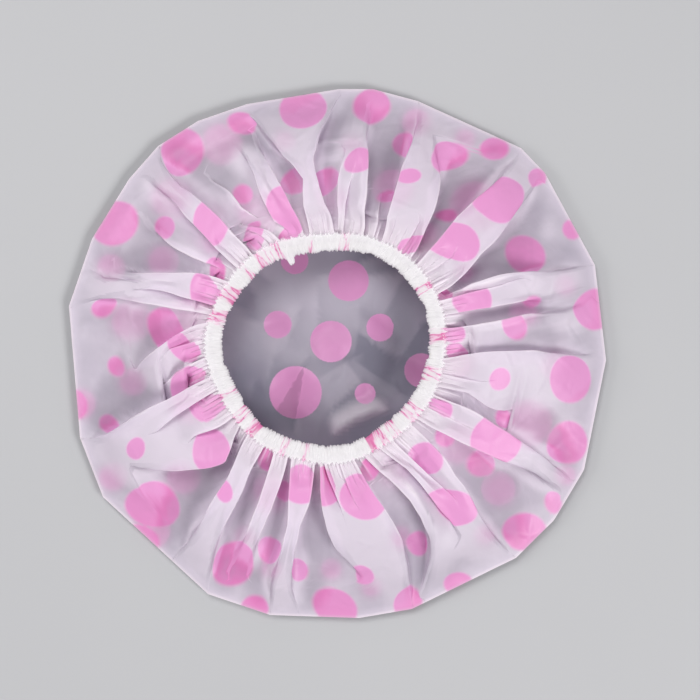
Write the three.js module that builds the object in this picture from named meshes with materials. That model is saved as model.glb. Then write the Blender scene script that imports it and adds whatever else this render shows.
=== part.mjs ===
// Film cap with an elastic mouth, lying on its crown with the mouth up.
// Millimetres, +Z up. The origin is the middle of the crown's resting face.
import * as THREE from 'three';

// Crown and rim
const RIM_RADIUS = 140.5; // mean reach of the rim fold from the crown's middle
const CROWN_FLAT_SHARE = 0.8; // share of the reach over which the crown lies flat
const RIM_LIFT = 4.5; // the rim's lower edge over the resting face
const RIM_ROLL = 1.6; // height of the rolled fold along the rim
const RIM_CORNERS = [
  // direction in degrees, reach past RIM_RADIUS
  [-1.5, -0.8],
  [18.9, 1.0],
  [41.0, 2.4],
  [48.2, 2.7],
  [72.4, -2.8],
  [82.4, -1.8],
  [89.8, -3.0],
  [110.1, -2.4],
  [121.1, 0.7],
  [131.0, 2.4],
  [140.2, 1.2],
  [155.1, 0.8],
  [170.1, 1.8],
  [198.2, 1.0],
  [211.5, 3.1],
  [241.7, 2.2],
  [255.5, 0.5],
  [274.5, -2.0],
  [286.1, -1.7],
  [311.0, 0.9],
  [322.3, 1.8],
  [334.6, 1.4],
];

// Skirt
const PLEAT_DEPTH = 9; // crest to trough of a pleat where it is deepest
const GATHER_DEPTH = 3; // crest to trough of the gathers beside the hem
const STATION_ANGLE = 4.5; // widest step between neighbouring lines of the skirt, degrees
const SKIRT_ROWS = [0.25, 0.5, 0.75, 0.9]; // shares of the way from the rim to the seam

// Mouth and hem
const MOUTH_RADIUS = 54; // mean radius of the relaxed mouth
const MOUTH_SHIFT = new THREE.Vector2(-6, 3); // the mouth's middle from the crown's
const MOUTH_HEIGHT = 30; // the hem's middle plane over the resting face
const SCALLOP = 0.6; // in and out of the ruffled mouth edge
const NOSE = 1.2; // run of the turned edge from the mouth to the tunnel
const SHOULDER = 0.5; // run from the tunnel down to the seam
const SEAM_FLANGE = 2.2; // width of the two film layers sewn together

// Film, elastic and thread
const FILM = 0.28; // wall of the film
const ELASTIC_WIDTH = 3.6;
const ELASTIC_THICKNESS = 0.6;
const ELASTIC_LAP = 14; // length over which the strip's ends lie on each other
const ELASTIC_STEPS = 80;
const THREAD = 0.4;
const THREAD_SIDES = 5;
const STITCH_PITCH = 3.4; // length of one whole zigzag
const STITCH_WIDTH = 1.2;
const CLEARANCE = 0.3; // between pieces that touch
const MITRE_LIMIT = 0.4; // the sharpest fold at which the wall keeps its full thickness, as a cosine

const TURN = Math.PI * 2;

// Levels and radii that follow from the sizes above
const tunnelHalf = ELASTIC_THICKNESS + 1.5 * CLEARANCE + FILM;
const flangeHalf = CLEARANCE / 2 + FILM;
const elasticInner = MOUTH_RADIUS + NOSE + CLEARANCE;
const elasticOuter = elasticInner + ELASTIC_WIDTH;
const tunnelOuter = elasticOuter + CLEARANCE;
const flangeInner = tunnelOuter + SHOULDER;
const flangeOuter = flangeInner + SEAM_FLANGE;
const rimTop = RIM_LIFT + RIM_ROLL;
const seamTop = MOUTH_HEIGHT + flangeHalf;

// A point round the mouth's axis.
function roundMouth(angle, radius, height) {
  return new THREE.Vector3(
    MOUTH_SHIFT.x + radius * Math.cos(angle),
    MOUTH_SHIFT.y + radius * Math.sin(angle),
    height,
  );
}

// Lines of the film from the crown to the mouth. Each corner of the rim starts a pleat: its crest, a
// trough beside it, and smaller waves on the way to the next corner.
function filmStations() {
  const corners = RIM_CORNERS.map(([degrees, past]) => {
    const angle = THREE.MathUtils.degToRad(degrees);
    const reach = RIM_RADIUS + past;
    return {
      angle,
      point: new THREE.Vector2(reach * Math.cos(angle), reach * Math.sin(angle)),
    };
  });
  const stations = [];
  corners.forEach((corner, index) => {
    const next = corners[(index + 1) % corners.length];
    const width = THREE.MathUtils.euclideanModulo(next.angle - corner.angle, TURN);
    const half = THREE.MathUtils.radToDeg(width) / STATION_ANGLE / 2;
    const count = 2 * Math.max(1, Math.round(half));
    for (let step = 0; step < count; step += 1) {
      const share = step / count;
      const crest = step % 2 === 0 ? 1 : -1;
      stations.push({
        rim: corner.point.clone().lerp(next.point, share),
        angle: corner.angle + width * share,
        pleat: step < 2 ? crest : 0.4 * crest,
        gather: crest,
      });
    }
  });
  return stations;
}

function crownRow(share, height) {
  return ({ rim }) => new THREE.Vector3(rim.x * share, rim.y * share, height);
}

function skirtRow(share) {
  const pleatReach = Math.sin(Math.PI * share ** 1.4);
  const gatherReach = Math.max(0, Math.sin(Math.PI * (2 * share - 1)));
  return (station) => {
    const start = new THREE.Vector3(station.rim.x, station.rim.y, rimTop);
    const point = start.lerp(roundMouth(station.angle, flangeOuter, seamTop), share);
    const wave = PLEAT_DEPTH * pleatReach * station.pleat + GATHER_DEPTH * gatherReach * station.gather;
    point.z = Math.max(point.z + wave / 2, rimTop);
    return point;
  };
}

function hemRow(radius, height, ruffle = 0) {
  return ({ angle, gather }) => roundMouth(angle, radius + ruffle * gather, MOUTH_HEIGHT + height);
}

// The film's outer face from the flat crown, round the rim and up the skirt, to the edge turned in under
// the elastic.
function filmRows() {
  return [
    crownRow(CROWN_FLAT_SHARE, 0),
    crownRow(1, RIM_LIFT),
    crownRow(1, rimTop),
    ...SKIRT_ROWS.map(skirtRow),
    hemRow(flangeOuter, flangeHalf),
    hemRow(flangeInner, flangeHalf),
    hemRow(tunnelOuter, tunnelHalf),
    hemRow(MOUTH_RADIUS + NOSE, tunnelHalf),
    hemRow(MOUTH_RADIUS, 0, SCALLOP),
    hemRow(MOUTH_RADIUS + NOSE, -tunnelHalf),
    hemRow(tunnelOuter, -tunnelHalf),
    hemRow(flangeInner, -flangeHalf),
    hemRow(flangeOuter - CLEARANCE, -flangeHalf),
  ];
}

// Facets between rings of equal count that follow one another.
function band(ringCount, count, loop = false) {
  const faces = [];
  const last = loop ? ringCount : ringCount - 1;
  for (let ring = 0; ring < last; ring += 1) {
    const here = ring * count;
    const there = ((ring + 1) % ringCount) * count;
    for (let side = 0; side < count; side += 1) {
      const next = (side + 1) % count;
      faces.push(here + side, here + next, there + next);
      faces.push(here + side, there + next, there + side);
    }
  }
  return faces;
}

// Facets from the first ring in to one point.
function fan(tip, count) {
  const faces = [];
  for (let side = 0; side < count; side += 1) {
    faces.push(tip, (side + 1) % count, side);
  }
  return faces;
}

function facetGeometry(points, faces) {
  const geometry = new THREE.BufferGeometry();
  const positions = points.flatMap((point) => point.toArray());
  geometry.setAttribute('position', new THREE.Float32BufferAttribute(positions, 3));
  geometry.setIndex(faces);
  const solid = geometry.toNonIndexed();
  solid.computeVertexNormals();
  return solid;
}

// Skins rings one after another. The two ends close on a point each.
function skin(rings, start, end) {
  const count = rings[0].length;
  const points = [...rings.flat(), start, end];
  const tail = (rings.length - 1) * count;
  const closing = [];
  for (let side = 0; side < count; side += 1) {
    closing.push(points.length - 1, tail + side, tail + ((side + 1) % count));
  }
  return facetGeometry(points, [...band(rings.length, count), ...fan(points.length - 2, count), ...closing]);
}

// The same points moved in, so that a wall of one thickness lies under every facet.
function innerFace(points, faces, wall) {
  const meeting = points.map(() => []);
  for (let at = 0; at < faces.length; at += 3) {
    const corners = faces.slice(at, at + 3);
    const facet = new THREE.Triangle(...corners.map((index) => points[index]));
    const normal = facet.getNormal(new THREE.Vector3());
    corners.forEach((index) => meeting[index].push(normal));
  }
  return points.map((point, index) => {
    const mean = meeting[index].reduce((sum, normal) => sum.add(normal), new THREE.Vector3()).normalize();
    const slant = Math.min(...meeting[index].map((normal) => mean.dot(normal)));
    return point.clone().addScaledVector(mean, -wall / Math.max(slant, MITRE_LIMIT));
  });
}

function filmGeometry() {
  const stations = filmStations();
  const count = stations.length;
  const rings = filmRows().map((place) => stations.map(place));
  const outer = [...rings.flat(), new THREE.Vector3(0, 0, 0)];
  const outside = [...band(rings.length, count), ...fan(outer.length - 1, count)];
  const inner = innerFace(outer, outside, FILM);
  const inside = outside.map((index) => outer.length + index).reverse();
  const edge = (rings.length - 1) * count;
  const cut = band(2, count).map((index) => edge + (index < count ? index : index - count + outer.length));
  return facetGeometry([...outer, ...inner], [...outside, ...inside, ...cut]);
}

// The flat strip climbs by its own thickness in one turn, so that its ends lap without touching.
function elasticGeometry() {
  const middle = (elasticInner + elasticOuter) / 2;
  const travel = TURN + ELASTIC_LAP / middle;
  const climb = (ELASTIC_THICKNESS + CLEARANCE) / TURN;
  const low = MOUTH_HEIGHT - (climb * TURN + ELASTIC_THICKNESS) / 2;
  const rings = [];
  for (let step = 0; step <= ELASTIC_STEPS; step += 1) {
    const angle = (travel * step) / ELASTIC_STEPS;
    const floor = low + climb * Math.min(angle, TURN);
    const roof = floor + ELASTIC_THICKNESS;
    rings.push([
      roundMouth(angle, elasticInner, floor),
      roundMouth(angle, elasticInner, roof),
      roundMouth(angle, elasticOuter, roof),
      roundMouth(angle, elasticOuter, floor),
    ]);
  }
  const centre = (ring) => ring[0].clone().lerp(ring[2], 0.5);
  return skin(rings, centre(rings[0]), centre(rings[ELASTIC_STEPS]));
}

// One thread of the zigzag seam, lying along the sewn flange.
function threadGeometry(side) {
  const middle = (flangeInner + flangeOuter) / 2;
  const height = MOUTH_HEIGHT + side * (flangeHalf + CLEARANCE + THREAD / 2);
  const turns = 2 * Math.round((TURN * middle) / STITCH_PITCH);
  const path = [];
  for (let step = 0; step < turns; step += 1) {
    const swing = step % 2 === 0 ? 0.5 : -0.5;
    path.push(roundMouth((TURN * step) / turns, middle + swing * STITCH_WIDTH, height));
  }
  const up = new THREE.Vector3(0, 0, 1);
  const rings = path.map((point, step) => {
    const before = path[(step + turns - 1) % turns];
    const after = path[(step + 1) % turns];
    const along = after.clone().sub(before).normalize();
    const across = up.clone().cross(along);
    const ring = [];
    for (let facet = 0; facet < THREAD_SIDES; facet += 1) {
      const angle = (TURN * facet) / THREAD_SIDES;
      const offset = across.clone().multiplyScalar((Math.cos(angle) * THREAD) / 2);
      offset.addScaledVector(up, (Math.sin(angle) * THREAD) / 2);
      ring.push(point.clone().add(offset));
    }
    return ring;
  });
  return facetGeometry(rings.flat(), band(rings.length, THREAD_SIDES, true));
}

function piece(name, geometry, material) {
  const mesh = new THREE.Mesh(geometry, material);
  mesh.name = name;
  return mesh;
}

const film = new THREE.MeshStandardMaterial({ color: 0xe6e0ec, roughness: 0.45 });
const elastic = new THREE.MeshStandardMaterial({ color: 0xf4f0e6, roughness: 0.8 });
const thread = new THREE.MeshStandardMaterial({ color: 0xffffff, roughness: 0.7 });

const cap = new THREE.Group();
cap.add(piece('cap_film', filmGeometry(), film));
cap.add(piece('elastic_band', elasticGeometry(), elastic));
cap.add(piece('needle_thread', threadGeometry(1), thread));
cap.add(piece('bobbin_thread', threadGeometry(-1), thread));

export default cap;
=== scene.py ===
"""Gathered film cap with a dotted print, laid crown down with its elastic mouth up.

Lengths inside the classes are millimetres, unless a class says metres. Every mesh is written in metres, in
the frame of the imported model.
"""

import bisect
import logging
import math
from dataclasses import dataclass, field
from enum import Enum, IntEnum
from typing import Optional, Sequence

import bpy
import numpy as np
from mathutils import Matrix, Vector
from mathutils.bvhtree import BVHTree


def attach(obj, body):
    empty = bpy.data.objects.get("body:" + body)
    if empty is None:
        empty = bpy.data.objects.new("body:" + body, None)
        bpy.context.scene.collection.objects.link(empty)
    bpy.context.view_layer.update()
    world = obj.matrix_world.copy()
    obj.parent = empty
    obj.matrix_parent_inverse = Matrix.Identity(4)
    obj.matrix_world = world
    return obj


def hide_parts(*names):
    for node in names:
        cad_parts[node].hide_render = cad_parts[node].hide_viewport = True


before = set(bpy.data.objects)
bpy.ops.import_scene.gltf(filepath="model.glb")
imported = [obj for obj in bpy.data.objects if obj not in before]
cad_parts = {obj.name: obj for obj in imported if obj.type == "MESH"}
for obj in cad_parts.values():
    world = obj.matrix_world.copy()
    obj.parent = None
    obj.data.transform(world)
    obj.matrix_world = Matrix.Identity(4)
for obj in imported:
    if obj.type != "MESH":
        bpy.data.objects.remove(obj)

LOG = logging.getLogger("film_cap")
MM = 0.001
TURN = 360.0
Colour = tuple[float, float, float]
Array = np.ndarray
Piece = bpy.types.Object
Socket = bpy.types.NodeSocket


class Slot(Enum):
    """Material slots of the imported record."""

    FILM = "film"
    ELASTIC = "elastic"
    THREAD = "thread"


class Lean(IntEnum):
    """Side that the crest of a fold lies over, seen from above."""

    CLOCKWISE = -1
    COUNTER = 1


class SeamSide(IntEnum):
    """Face of the hem that a seam thread lies on."""

    UPPER = 1
    LOWER = -1


def ease(value: Array) -> Array:
    """Gives the smooth step of a value clipped to 0..1."""
    part = np.clip(value, 0.0, 1.0)
    return part * part * (3.0 - 2.0 * part)


def step(value: float) -> float:
    """Gives the smooth step of one number clipped to 0..1."""
    return float(ease(np.array(value)))


def wrapped(value: Array, turn: float) -> Array:
    """Gives a distance round a closed ring as one between minus and plus half a turn."""
    return np.mod(value + turn / 2, turn) - turn / 2


def following(values: Array, turn: float) -> Array:
    """Gives each place round a closed ring the place that comes next."""
    return np.concatenate([values[1:], [values[0] + turn]])


def heading(degrees: Array) -> Array:
    """Gives unit directions in the plane for angles in degrees."""
    turn = np.radians(degrees)
    return np.stack([np.cos(turn), np.sin(turn)], -1)


def running_length(points: Array) -> Array:
    """Gives the length along a polyline at each of its points."""
    steps = np.linalg.norm(np.diff(points, axis=0), axis=1)
    return np.concatenate([[0.0], np.cumsum(steps)])


@dataclass(frozen=True)
class Fold:
    """One fold of the gathered skirt.

    Attributes:
        lean: Side that the crest lies over.
        weight: Share of the spare film that the fold takes up.
        path: Share of the skirt from the rim, and angle, at points along the crest.
    """

    lean: Lean
    weight: float
    path: tuple[tuple[float, float], ...]

    def span(self) -> tuple[float, float]:
        """Gives the shares of the skirt at which the fold starts and ends."""
        return self.path[0][0], 1.0 if self.path[-1][0] > 0.95 else self.path[-1][0]


@dataclass(frozen=True)
class Dot:
    """One printed dot, placed by where it shows in the picture frame of 700 by 700.

    Attributes:
        across: Picture position from the left.
        down: Picture position from the top.
        radius: Radius of the dot on the flat film, in millimetres.
    """

    across: float
    down: float
    radius: float


LEFT, RIGHT = Lean.CLOCKWISE, Lean.COUNTER
FOLDS: tuple[Fold, ...] = tuple(Fold(*values) for values in (
    (RIGHT, 1.1, ((0.039, 1.0), (0.29, 1.6), (0.436, 1.4), (0.532, 0.6), (0.658, 0.0), (0.774, -1.0),
        (0.871, -2.4), (1.0, -5.6))),
    (RIGHT, 1.0, ((0.029, 15.4), (0.097, 13.6), (0.232, 12.4), (0.436, 12.0), (0.678, 10.6), (0.91, 9.2),
        (1.0, 9.0))),
    (LEFT, 0.45, ((0.097, 17.0), (0.329, 15.2), (0.629, 15.6), (0.842, 15.4), (1.0, 15.2))),
    (RIGHT, 0.7, ((0.426, 22.8), (0.59, 22.0), (0.755, 22.2), (1.0, 22.6))),
    (RIGHT, 1.0, ((0.0, 20.8), (0.126, 21.8), (0.407, 24.0), (0.581, 25.2), (0.755, 25.4), (0.832, 24.5))),
    (LEFT, 1.2, ((0.029, 43.6), (0.145, 41.2), (0.358, 37.6), (0.62, 33.6), (0.784, 29.2), (0.881, 26.8),
        (1.0, 25.5))),
    (RIGHT, 0.5, ((0.755, 31.5), (0.871, 31.0), (1.0, 30.5))),
    (LEFT, 0.5, ((0.755, 37.6), (0.871, 37.0), (1.0, 36.4))),
    (RIGHT, 1.1, ((0.0, 50.5), (0.116, 49.8), (0.436, 49.0), (0.6, 48.0), (0.823, 45.1), (1.0, 42.4))),
    (LEFT, 1.2, ((0.174, 68.5), (0.281, 65.0), (0.416, 60.0), (0.59, 56.0), (0.774, 52.0), (0.91, 48.0),
        (1.0, 46.0))),
    (LEFT, 0.5, ((0.736, 56.0), (0.852, 54.0), (1.0, 52.0))),
    (RIGHT, 1.2, ((0.0, 75.0), (0.145, 73.6), (0.31, 72.6), (0.436, 71.6), (0.59, 70.0), (0.716, 68.4),
        (0.823, 66.8), (0.881, 64.8), (1.0, 62.0))),
    (LEFT, 0.6, ((0.697, 73.0), (0.803, 70.6), (0.881, 68.4), (1.0, 66.2))),
    (LEFT, 1.2, ((0.097, 85.4), (0.271, 83.4), (0.397, 82.0), (0.61, 79.2), (0.716, 77.6), (0.823, 76.0),
        (0.929, 72.8), (1.0, 71.8))),
    (LEFT, 0.6, ((0.561, 84.6), (0.774, 84.4), (0.881, 83.2), (1.0, 81.6))),
    (RIGHT, 0.5, ((0.407, 88.4), (0.629, 89.2), (0.774, 87.6), (0.871, 85.8))),
    (LEFT, 1.2, ((0.019, 91.4), (0.232, 94.0), (0.416, 96.4), (0.465, 97.4), (0.581, 96.4), (0.678, 95.0),
        (0.774, 92.8), (0.862, 89.2), (1.0, 85.4))),
    (RIGHT, 1.1, ((0.058, 112.8), (0.232, 110.2), (0.339, 108.0), (0.426, 106.0), (0.494, 103.4),
        (0.6, 100.6), (0.678, 101.0), (0.774, 101.0), (0.862, 99.8), (1.0, 98.0))),
    (LEFT, 1.1, ((0.194, 111.9), (0.31, 111.4), (0.436, 110.4), (0.581, 108.8), (0.784, 105.2),
        (0.881, 102.8), (1.0, 100.8))),
    (RIGHT, 0.6, ((0.232, 117.4), (0.339, 116.2), (0.484, 115.2), (0.629, 115.4), (0.774, 114.6),
        (0.852, 113.4))),
    (LEFT, 0.5, ((0.31, 127.2), (0.436, 125.6), (0.542, 123.6), (0.678, 122.5))),
    (LEFT, 0.8, ((0.774, 125.6), (0.842, 120.5), (0.891, 116.6), (1.0, 112.6))),
    (LEFT, 1.1, ((0.0, 131.6), (0.097, 133.2), (0.31, 133.0), (0.416, 132.2), (0.523, 131.6),
        (0.678, 130.6), (0.803, 130.0), (0.91, 128.8), (1.0, 128.2))),
    (RIGHT, 0.6, ((0.774, 136.8), (0.871, 136.2), (1.0, 135.4))),
    (RIGHT, 1.0, ((0.058, 138.2), (0.184, 138.6), (0.358, 138.2), (0.542, 138.0), (0.678, 138.4),
        (0.813, 138.8), (0.891, 138.8), (1.0, 138.4))),
    (RIGHT, 0.5, ((0.194, 145.2), (0.339, 146.8), (0.503, 147.4), (0.678, 146.8), (0.794, 145.4))),
    (LEFT, 1.2, ((0.213, 159.2), (0.378, 158.2), (0.465, 157.2), (0.552, 155.6), (0.649, 153.6),
        (0.784, 150.0), (0.881, 148.0), (1.0, 146.2))),
    (LEFT, 0.5, ((0.0, 160.0), (0.097, 161.4), (0.232, 161.0), (0.387, 160.0))),
    (RIGHT, 0.8, ((0.436, 162.6), (0.532, 161.2), (0.678, 160.4), (0.774, 160.4), (1.0, 159.6))),
    (RIGHT, 0.45, ((0.039, 169.2), (0.194, 167.2), (0.387, 166.2), (0.532, 165.6), (0.726, 165.2),
        (0.871, 164.8), (1.0, 164.4))),
    (LEFT, 1.2, ((0.445, 185.0), (0.503, 182.6), (0.6, 180.0), (0.678, 178.0), (0.765, 175.2),
        (0.832, 172.8), (0.891, 170.4), (1.0, 167.6))),
    (LEFT, 0.5, ((0.716, 179.5), (0.852, 178.0), (1.0, 176.0))),
    (LEFT, 0.8, ((0.658, 191.0), (0.745, 188.0), (0.803, 187.2), (0.871, 186.2), (1.0, 184.4))),
    (LEFT, 1.1, ((0.0, 196.8), (0.223, 196.8), (0.503, 196.4), (0.649, 196.2), (0.736, 195.6),
        (0.871, 194.6), (1.0, 194.0))),
    (RIGHT, 0.5, ((0.484, 203.6), (0.629, 202.6), (0.755, 202.0), (1.0, 201.2))),
    (RIGHT, 0.6, ((0.678, 211.0), (0.736, 212.2), (0.823, 214.4), (0.891, 216.0), (1.0, 217.2))),
    (RIGHT, 1.1, ((0.232, 206.4), (0.339, 210.4), (0.445, 215.0), (0.561, 219.4), (0.658, 223.6),
        (0.745, 226.6), (0.832, 225.4), (0.9, 223.4), (1.0, 222.0))),
    (LEFT, 1.1, ((0.0, 228.6), (0.116, 228.6), (0.329, 229.2), (0.484, 229.5), (0.678, 230.0),
        (0.784, 229.6), (0.91, 228.2), (1.0, 227.6))),
    (RIGHT, 1.0, ((0.0, 239.0), (0.097, 238.0), (0.242, 237.2), (0.436, 236.6), (0.678, 237.0),
        (0.823, 236.6), (1.0, 238.0))),
    (LEFT, 1.0, ((0.155, 241.2), (0.387, 242.2), (0.542, 242.8), (0.658, 243.2), (0.784, 243.6),
        (0.891, 243.6), (1.0, 243.2))),
    (RIGHT, 1.0, ((0.194, 246.0), (0.378, 246.4), (0.59, 247.6), (0.716, 248.8), (0.842, 250.0),
        (1.0, 251.0))),
    (LEFT, 1.2, ((0.0, 252.7), (0.145, 251.8), (0.271, 251.8), (0.436, 253.4), (0.581, 254.2),
        (0.678, 253.9), (0.784, 253.4), (0.91, 252.8), (1.0, 252.4))),
    (RIGHT, 1.1, ((0.019, 258.8), (0.194, 257.6), (0.436, 257.4), (0.581, 258.2), (0.649, 259.8),
        (0.716, 261.4), (0.842, 263.0), (1.0, 264.6))),
    (LEFT, 1.1, ((0.232, 275.4), (0.358, 272.0), (0.455, 268.6), (0.561, 267.2), (0.678, 266.2),
        (0.774, 266.0), (1.0, 266.6))),
    (LEFT, 0.9, ((0.678, 273.4), (0.803, 271.4), (0.881, 270.2), (1.0, 268.6))),
    (LEFT, 0.5, ((0.716, 278.6), (0.852, 277.2), (1.0, 276.0))),
    (RIGHT, 1.1, ((0.0, 284.2), (0.126, 286.0), (0.271, 288.0), (0.436, 289.0), (0.581, 288.2),
        (0.678, 287.4), (0.852, 285.4), (1.0, 284.0))),
    (LEFT, 1.2, ((0.029, 285.4), (0.165, 289.6), (0.242, 292.2), (0.368, 295.2), (0.503, 296.8),
        (0.629, 296.6), (0.716, 295.6), (0.803, 294.0), (0.871, 292.0), (1.0, 289.0))),
    (LEFT, 1.1, ((0.252, 303.0), (0.629, 303.0), (0.716, 303.0), (0.794, 302.6), (0.871, 300.8),
        (1.0, 297.4))),
    (RIGHT, 0.6, ((0.484, 309.2), (0.62, 308.2), (0.697, 307.6), (0.842, 306.6), (1.0, 305.8))),
    (RIGHT, 1.1, ((0.0, 309.8), (0.232, 310.6), (0.358, 311.6), (0.465, 312.8), (0.61, 314.4),
        (0.716, 316.4), (0.871, 317.4), (1.0, 317.8))),
    (LEFT, 1.1, ((0.039, 328.2), (0.252, 327.6), (0.397, 326.8), (0.523, 326.0), (0.62, 325.4),
        (0.716, 324.4), (0.823, 323.2), (0.91, 322.2), (1.0, 321.6))),
    (RIGHT, 0.5, ((0.697, 330.6), (0.852, 330.0), (1.0, 329.4))),
    (RIGHT, 1.1, ((0.019, 331.2), (0.165, 332.8), (0.242, 333.8), (0.329, 334.4), (0.445, 334.8),
        (0.581, 335.4), (0.658, 336.2), (0.736, 336.8), (1.0, 336.4))),
    (LEFT, 0.9, ((0.53, 341.2), (0.61, 340.2), (0.668, 340.2), (0.745, 341.4), (0.803, 342.4),
        (0.891, 341.6), (1.0, 340.2))),
    (RIGHT, 0.5, ((0.716, 348.2), (0.823, 347.6), (1.0, 347.0)))))

DOTS: tuple[Dot, ...] = tuple(Dot(*values) for values in (
    (348, 281, 10.7), (277, 324, 7.3), (380, 328, 7.3), (331, 341, 10.9), (296, 392, 13.8),
    (364.5, 394, 5.5), (295, 260, 7.3), (421, 370, 9.0), (303, 109, 12.5), (243, 123, 7.3),
    (182, 152, 12.0), (115, 223, 12.5), (164, 227, 6.0), (243, 194, 5.5), (211, 222, 10.7), (254, 237, 7.5),
    (287, 204, 10.7), (104, 306, 6.5), (169, 334, 12.5), (184, 346, 9.5), (116, 366, 5.4), (371, 106, 10.7),
    (359, 160, 7.3), (406, 145, 7.3), (445, 157, 10.9), (409, 176, 5.4), (494, 149, 7.3), (500, 198, 13.2),
    (538, 178, 5.4), (453, 241, 12.5), (526, 255, 11.0), (472, 299, 10.7), (532, 301, 5.4), (515, 326, 7.3),
    (592, 309, 11.5), (571, 379, 12.5), (500, 379, 6.0), (568, 443, 11.5), (496, 441, 13.2),
    (481, 464, 7.3), (554, 501, 5.4), (524, 532, 10.9), (449, 508, 12.5), (363, 497, 13.2), (419, 543, 7.3),
    (362, 575, 6.0), (458, 583, 7.3), (410, 602, 9.0), (439, 409, 7.3), (109, 424, 5.4), (136, 449, 5.4),
    (211, 406, 10.7), (211, 451, 11.0), (154, 506, 13.4), (224, 491, 5.4), (233, 563, 12.8),
    (270, 550, 7.3), (297, 570, 6.5), (268, 457, 7.3), (301, 484, 10.7), (324, 487, 10.7), (255, 608, 7.3),
    (335, 607, 11.5), (443, 296, 5.4), (450, 335, 9.0), (414, 244, 9.0), (322, 184, 8.5), (296, 182, 8.0),
    (387, 196, 4.5), (217, 269, 6.5), (208, 295, 11.0), (189, 380, 11.0), (285, 491, 5.4), (370, 469, 6.5),
    (425, 460, 9.0), (445, 436, 5.4), (457, 355, 7.3), (292, 227, 8), (447, 215, 4.5), (215, 406, 9),
    (503, 418, 5), (321, 482, 9)))

# Dots on the film beneath that show through; the one at 260, 214 also stands for painted shade in the hollow
# there.
BENEATH: tuple[Dot, ...] = tuple(Dot(*values) for values in (
    (529, 423, 12.5), (499, 489, 9.0), (163, 261, 8.0), (260, 214, 11.0), (80, 404, 8.0), (151, 530, 10.0),
    (394, 470, 8.0), (183, 477, 9.0), (456, 363, 8.0)))


class Sheet:
    """Helpers that turn arrays of points into mesh objects."""

    @staticmethod
    def object_of(name: str, points: Array, faces: Sequence[Sequence[int]]) -> Piece:
        """Makes a smooth mesh object at the origin.

        Args:
            name: Name of the new piece.
            points: Corner positions in millimetres.
            faces: Corner numbers of each face.

        Returns:
            The new object, linked to the scene.
        """
        mesh = bpy.data.meshes.new(name)
        mesh.from_pydata((points * MM).tolist(), [], [list(map(int, face)) for face in faces])
        mesh.polygons.foreach_set("use_smooth", np.ones(len(mesh.polygons), dtype=bool))
        mesh.validate()
        mesh.update()
        piece = bpy.data.objects.new(name, mesh)
        bpy.context.scene.collection.objects.link(piece)
        return piece

    @staticmethod
    def mark(piece: Piece, name: str, values: Array) -> None:
        """Writes one number or vector per corner of a piece.

        Args:
            piece: The object to mark.
            name: Name of the attribute.
            values: One value, or one row of three, per corner.
        """
        if values.ndim == 1:
            layer = piece.data.attributes.new(name, "FLOAT", "POINT")
            layer.data.foreach_set("value", values.astype(np.float32))
        else:
            layer = piece.data.attributes.new(name, "FLOAT_VECTOR", "POINT")
            layer.data.foreach_set("vector", values.astype(np.float32).ravel())

    @staticmethod
    def weave(outer: Array, inner: Array) -> list[tuple[int, ...]]:
        """Joins a ring of corners to the next one inside it, which has as many corners or half as many.

        Args:
            outer: Corner numbers of the outer ring.
            inner: Corner numbers of the inner ring.

        Returns:
            The faces between the rings, turned to the outside of the cap.
        """
        count = len(inner)
        if len(outer) == count:
            return [(inner[at], inner[(at + 1) % count], outer[(at + 1) % count], outer[at])
                    for at in range(count)]
        faces: list[tuple[int, ...]] = []
        for at in range(count):
            after = (at + 1) % count
            first, middle, last = outer[2 * at], outer[2 * at + 1], outer[2 * after]
            faces += [(inner[at], middle, first), (inner[at], inner[after], middle),
                      (inner[after], last, middle)]
        return faces


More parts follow.
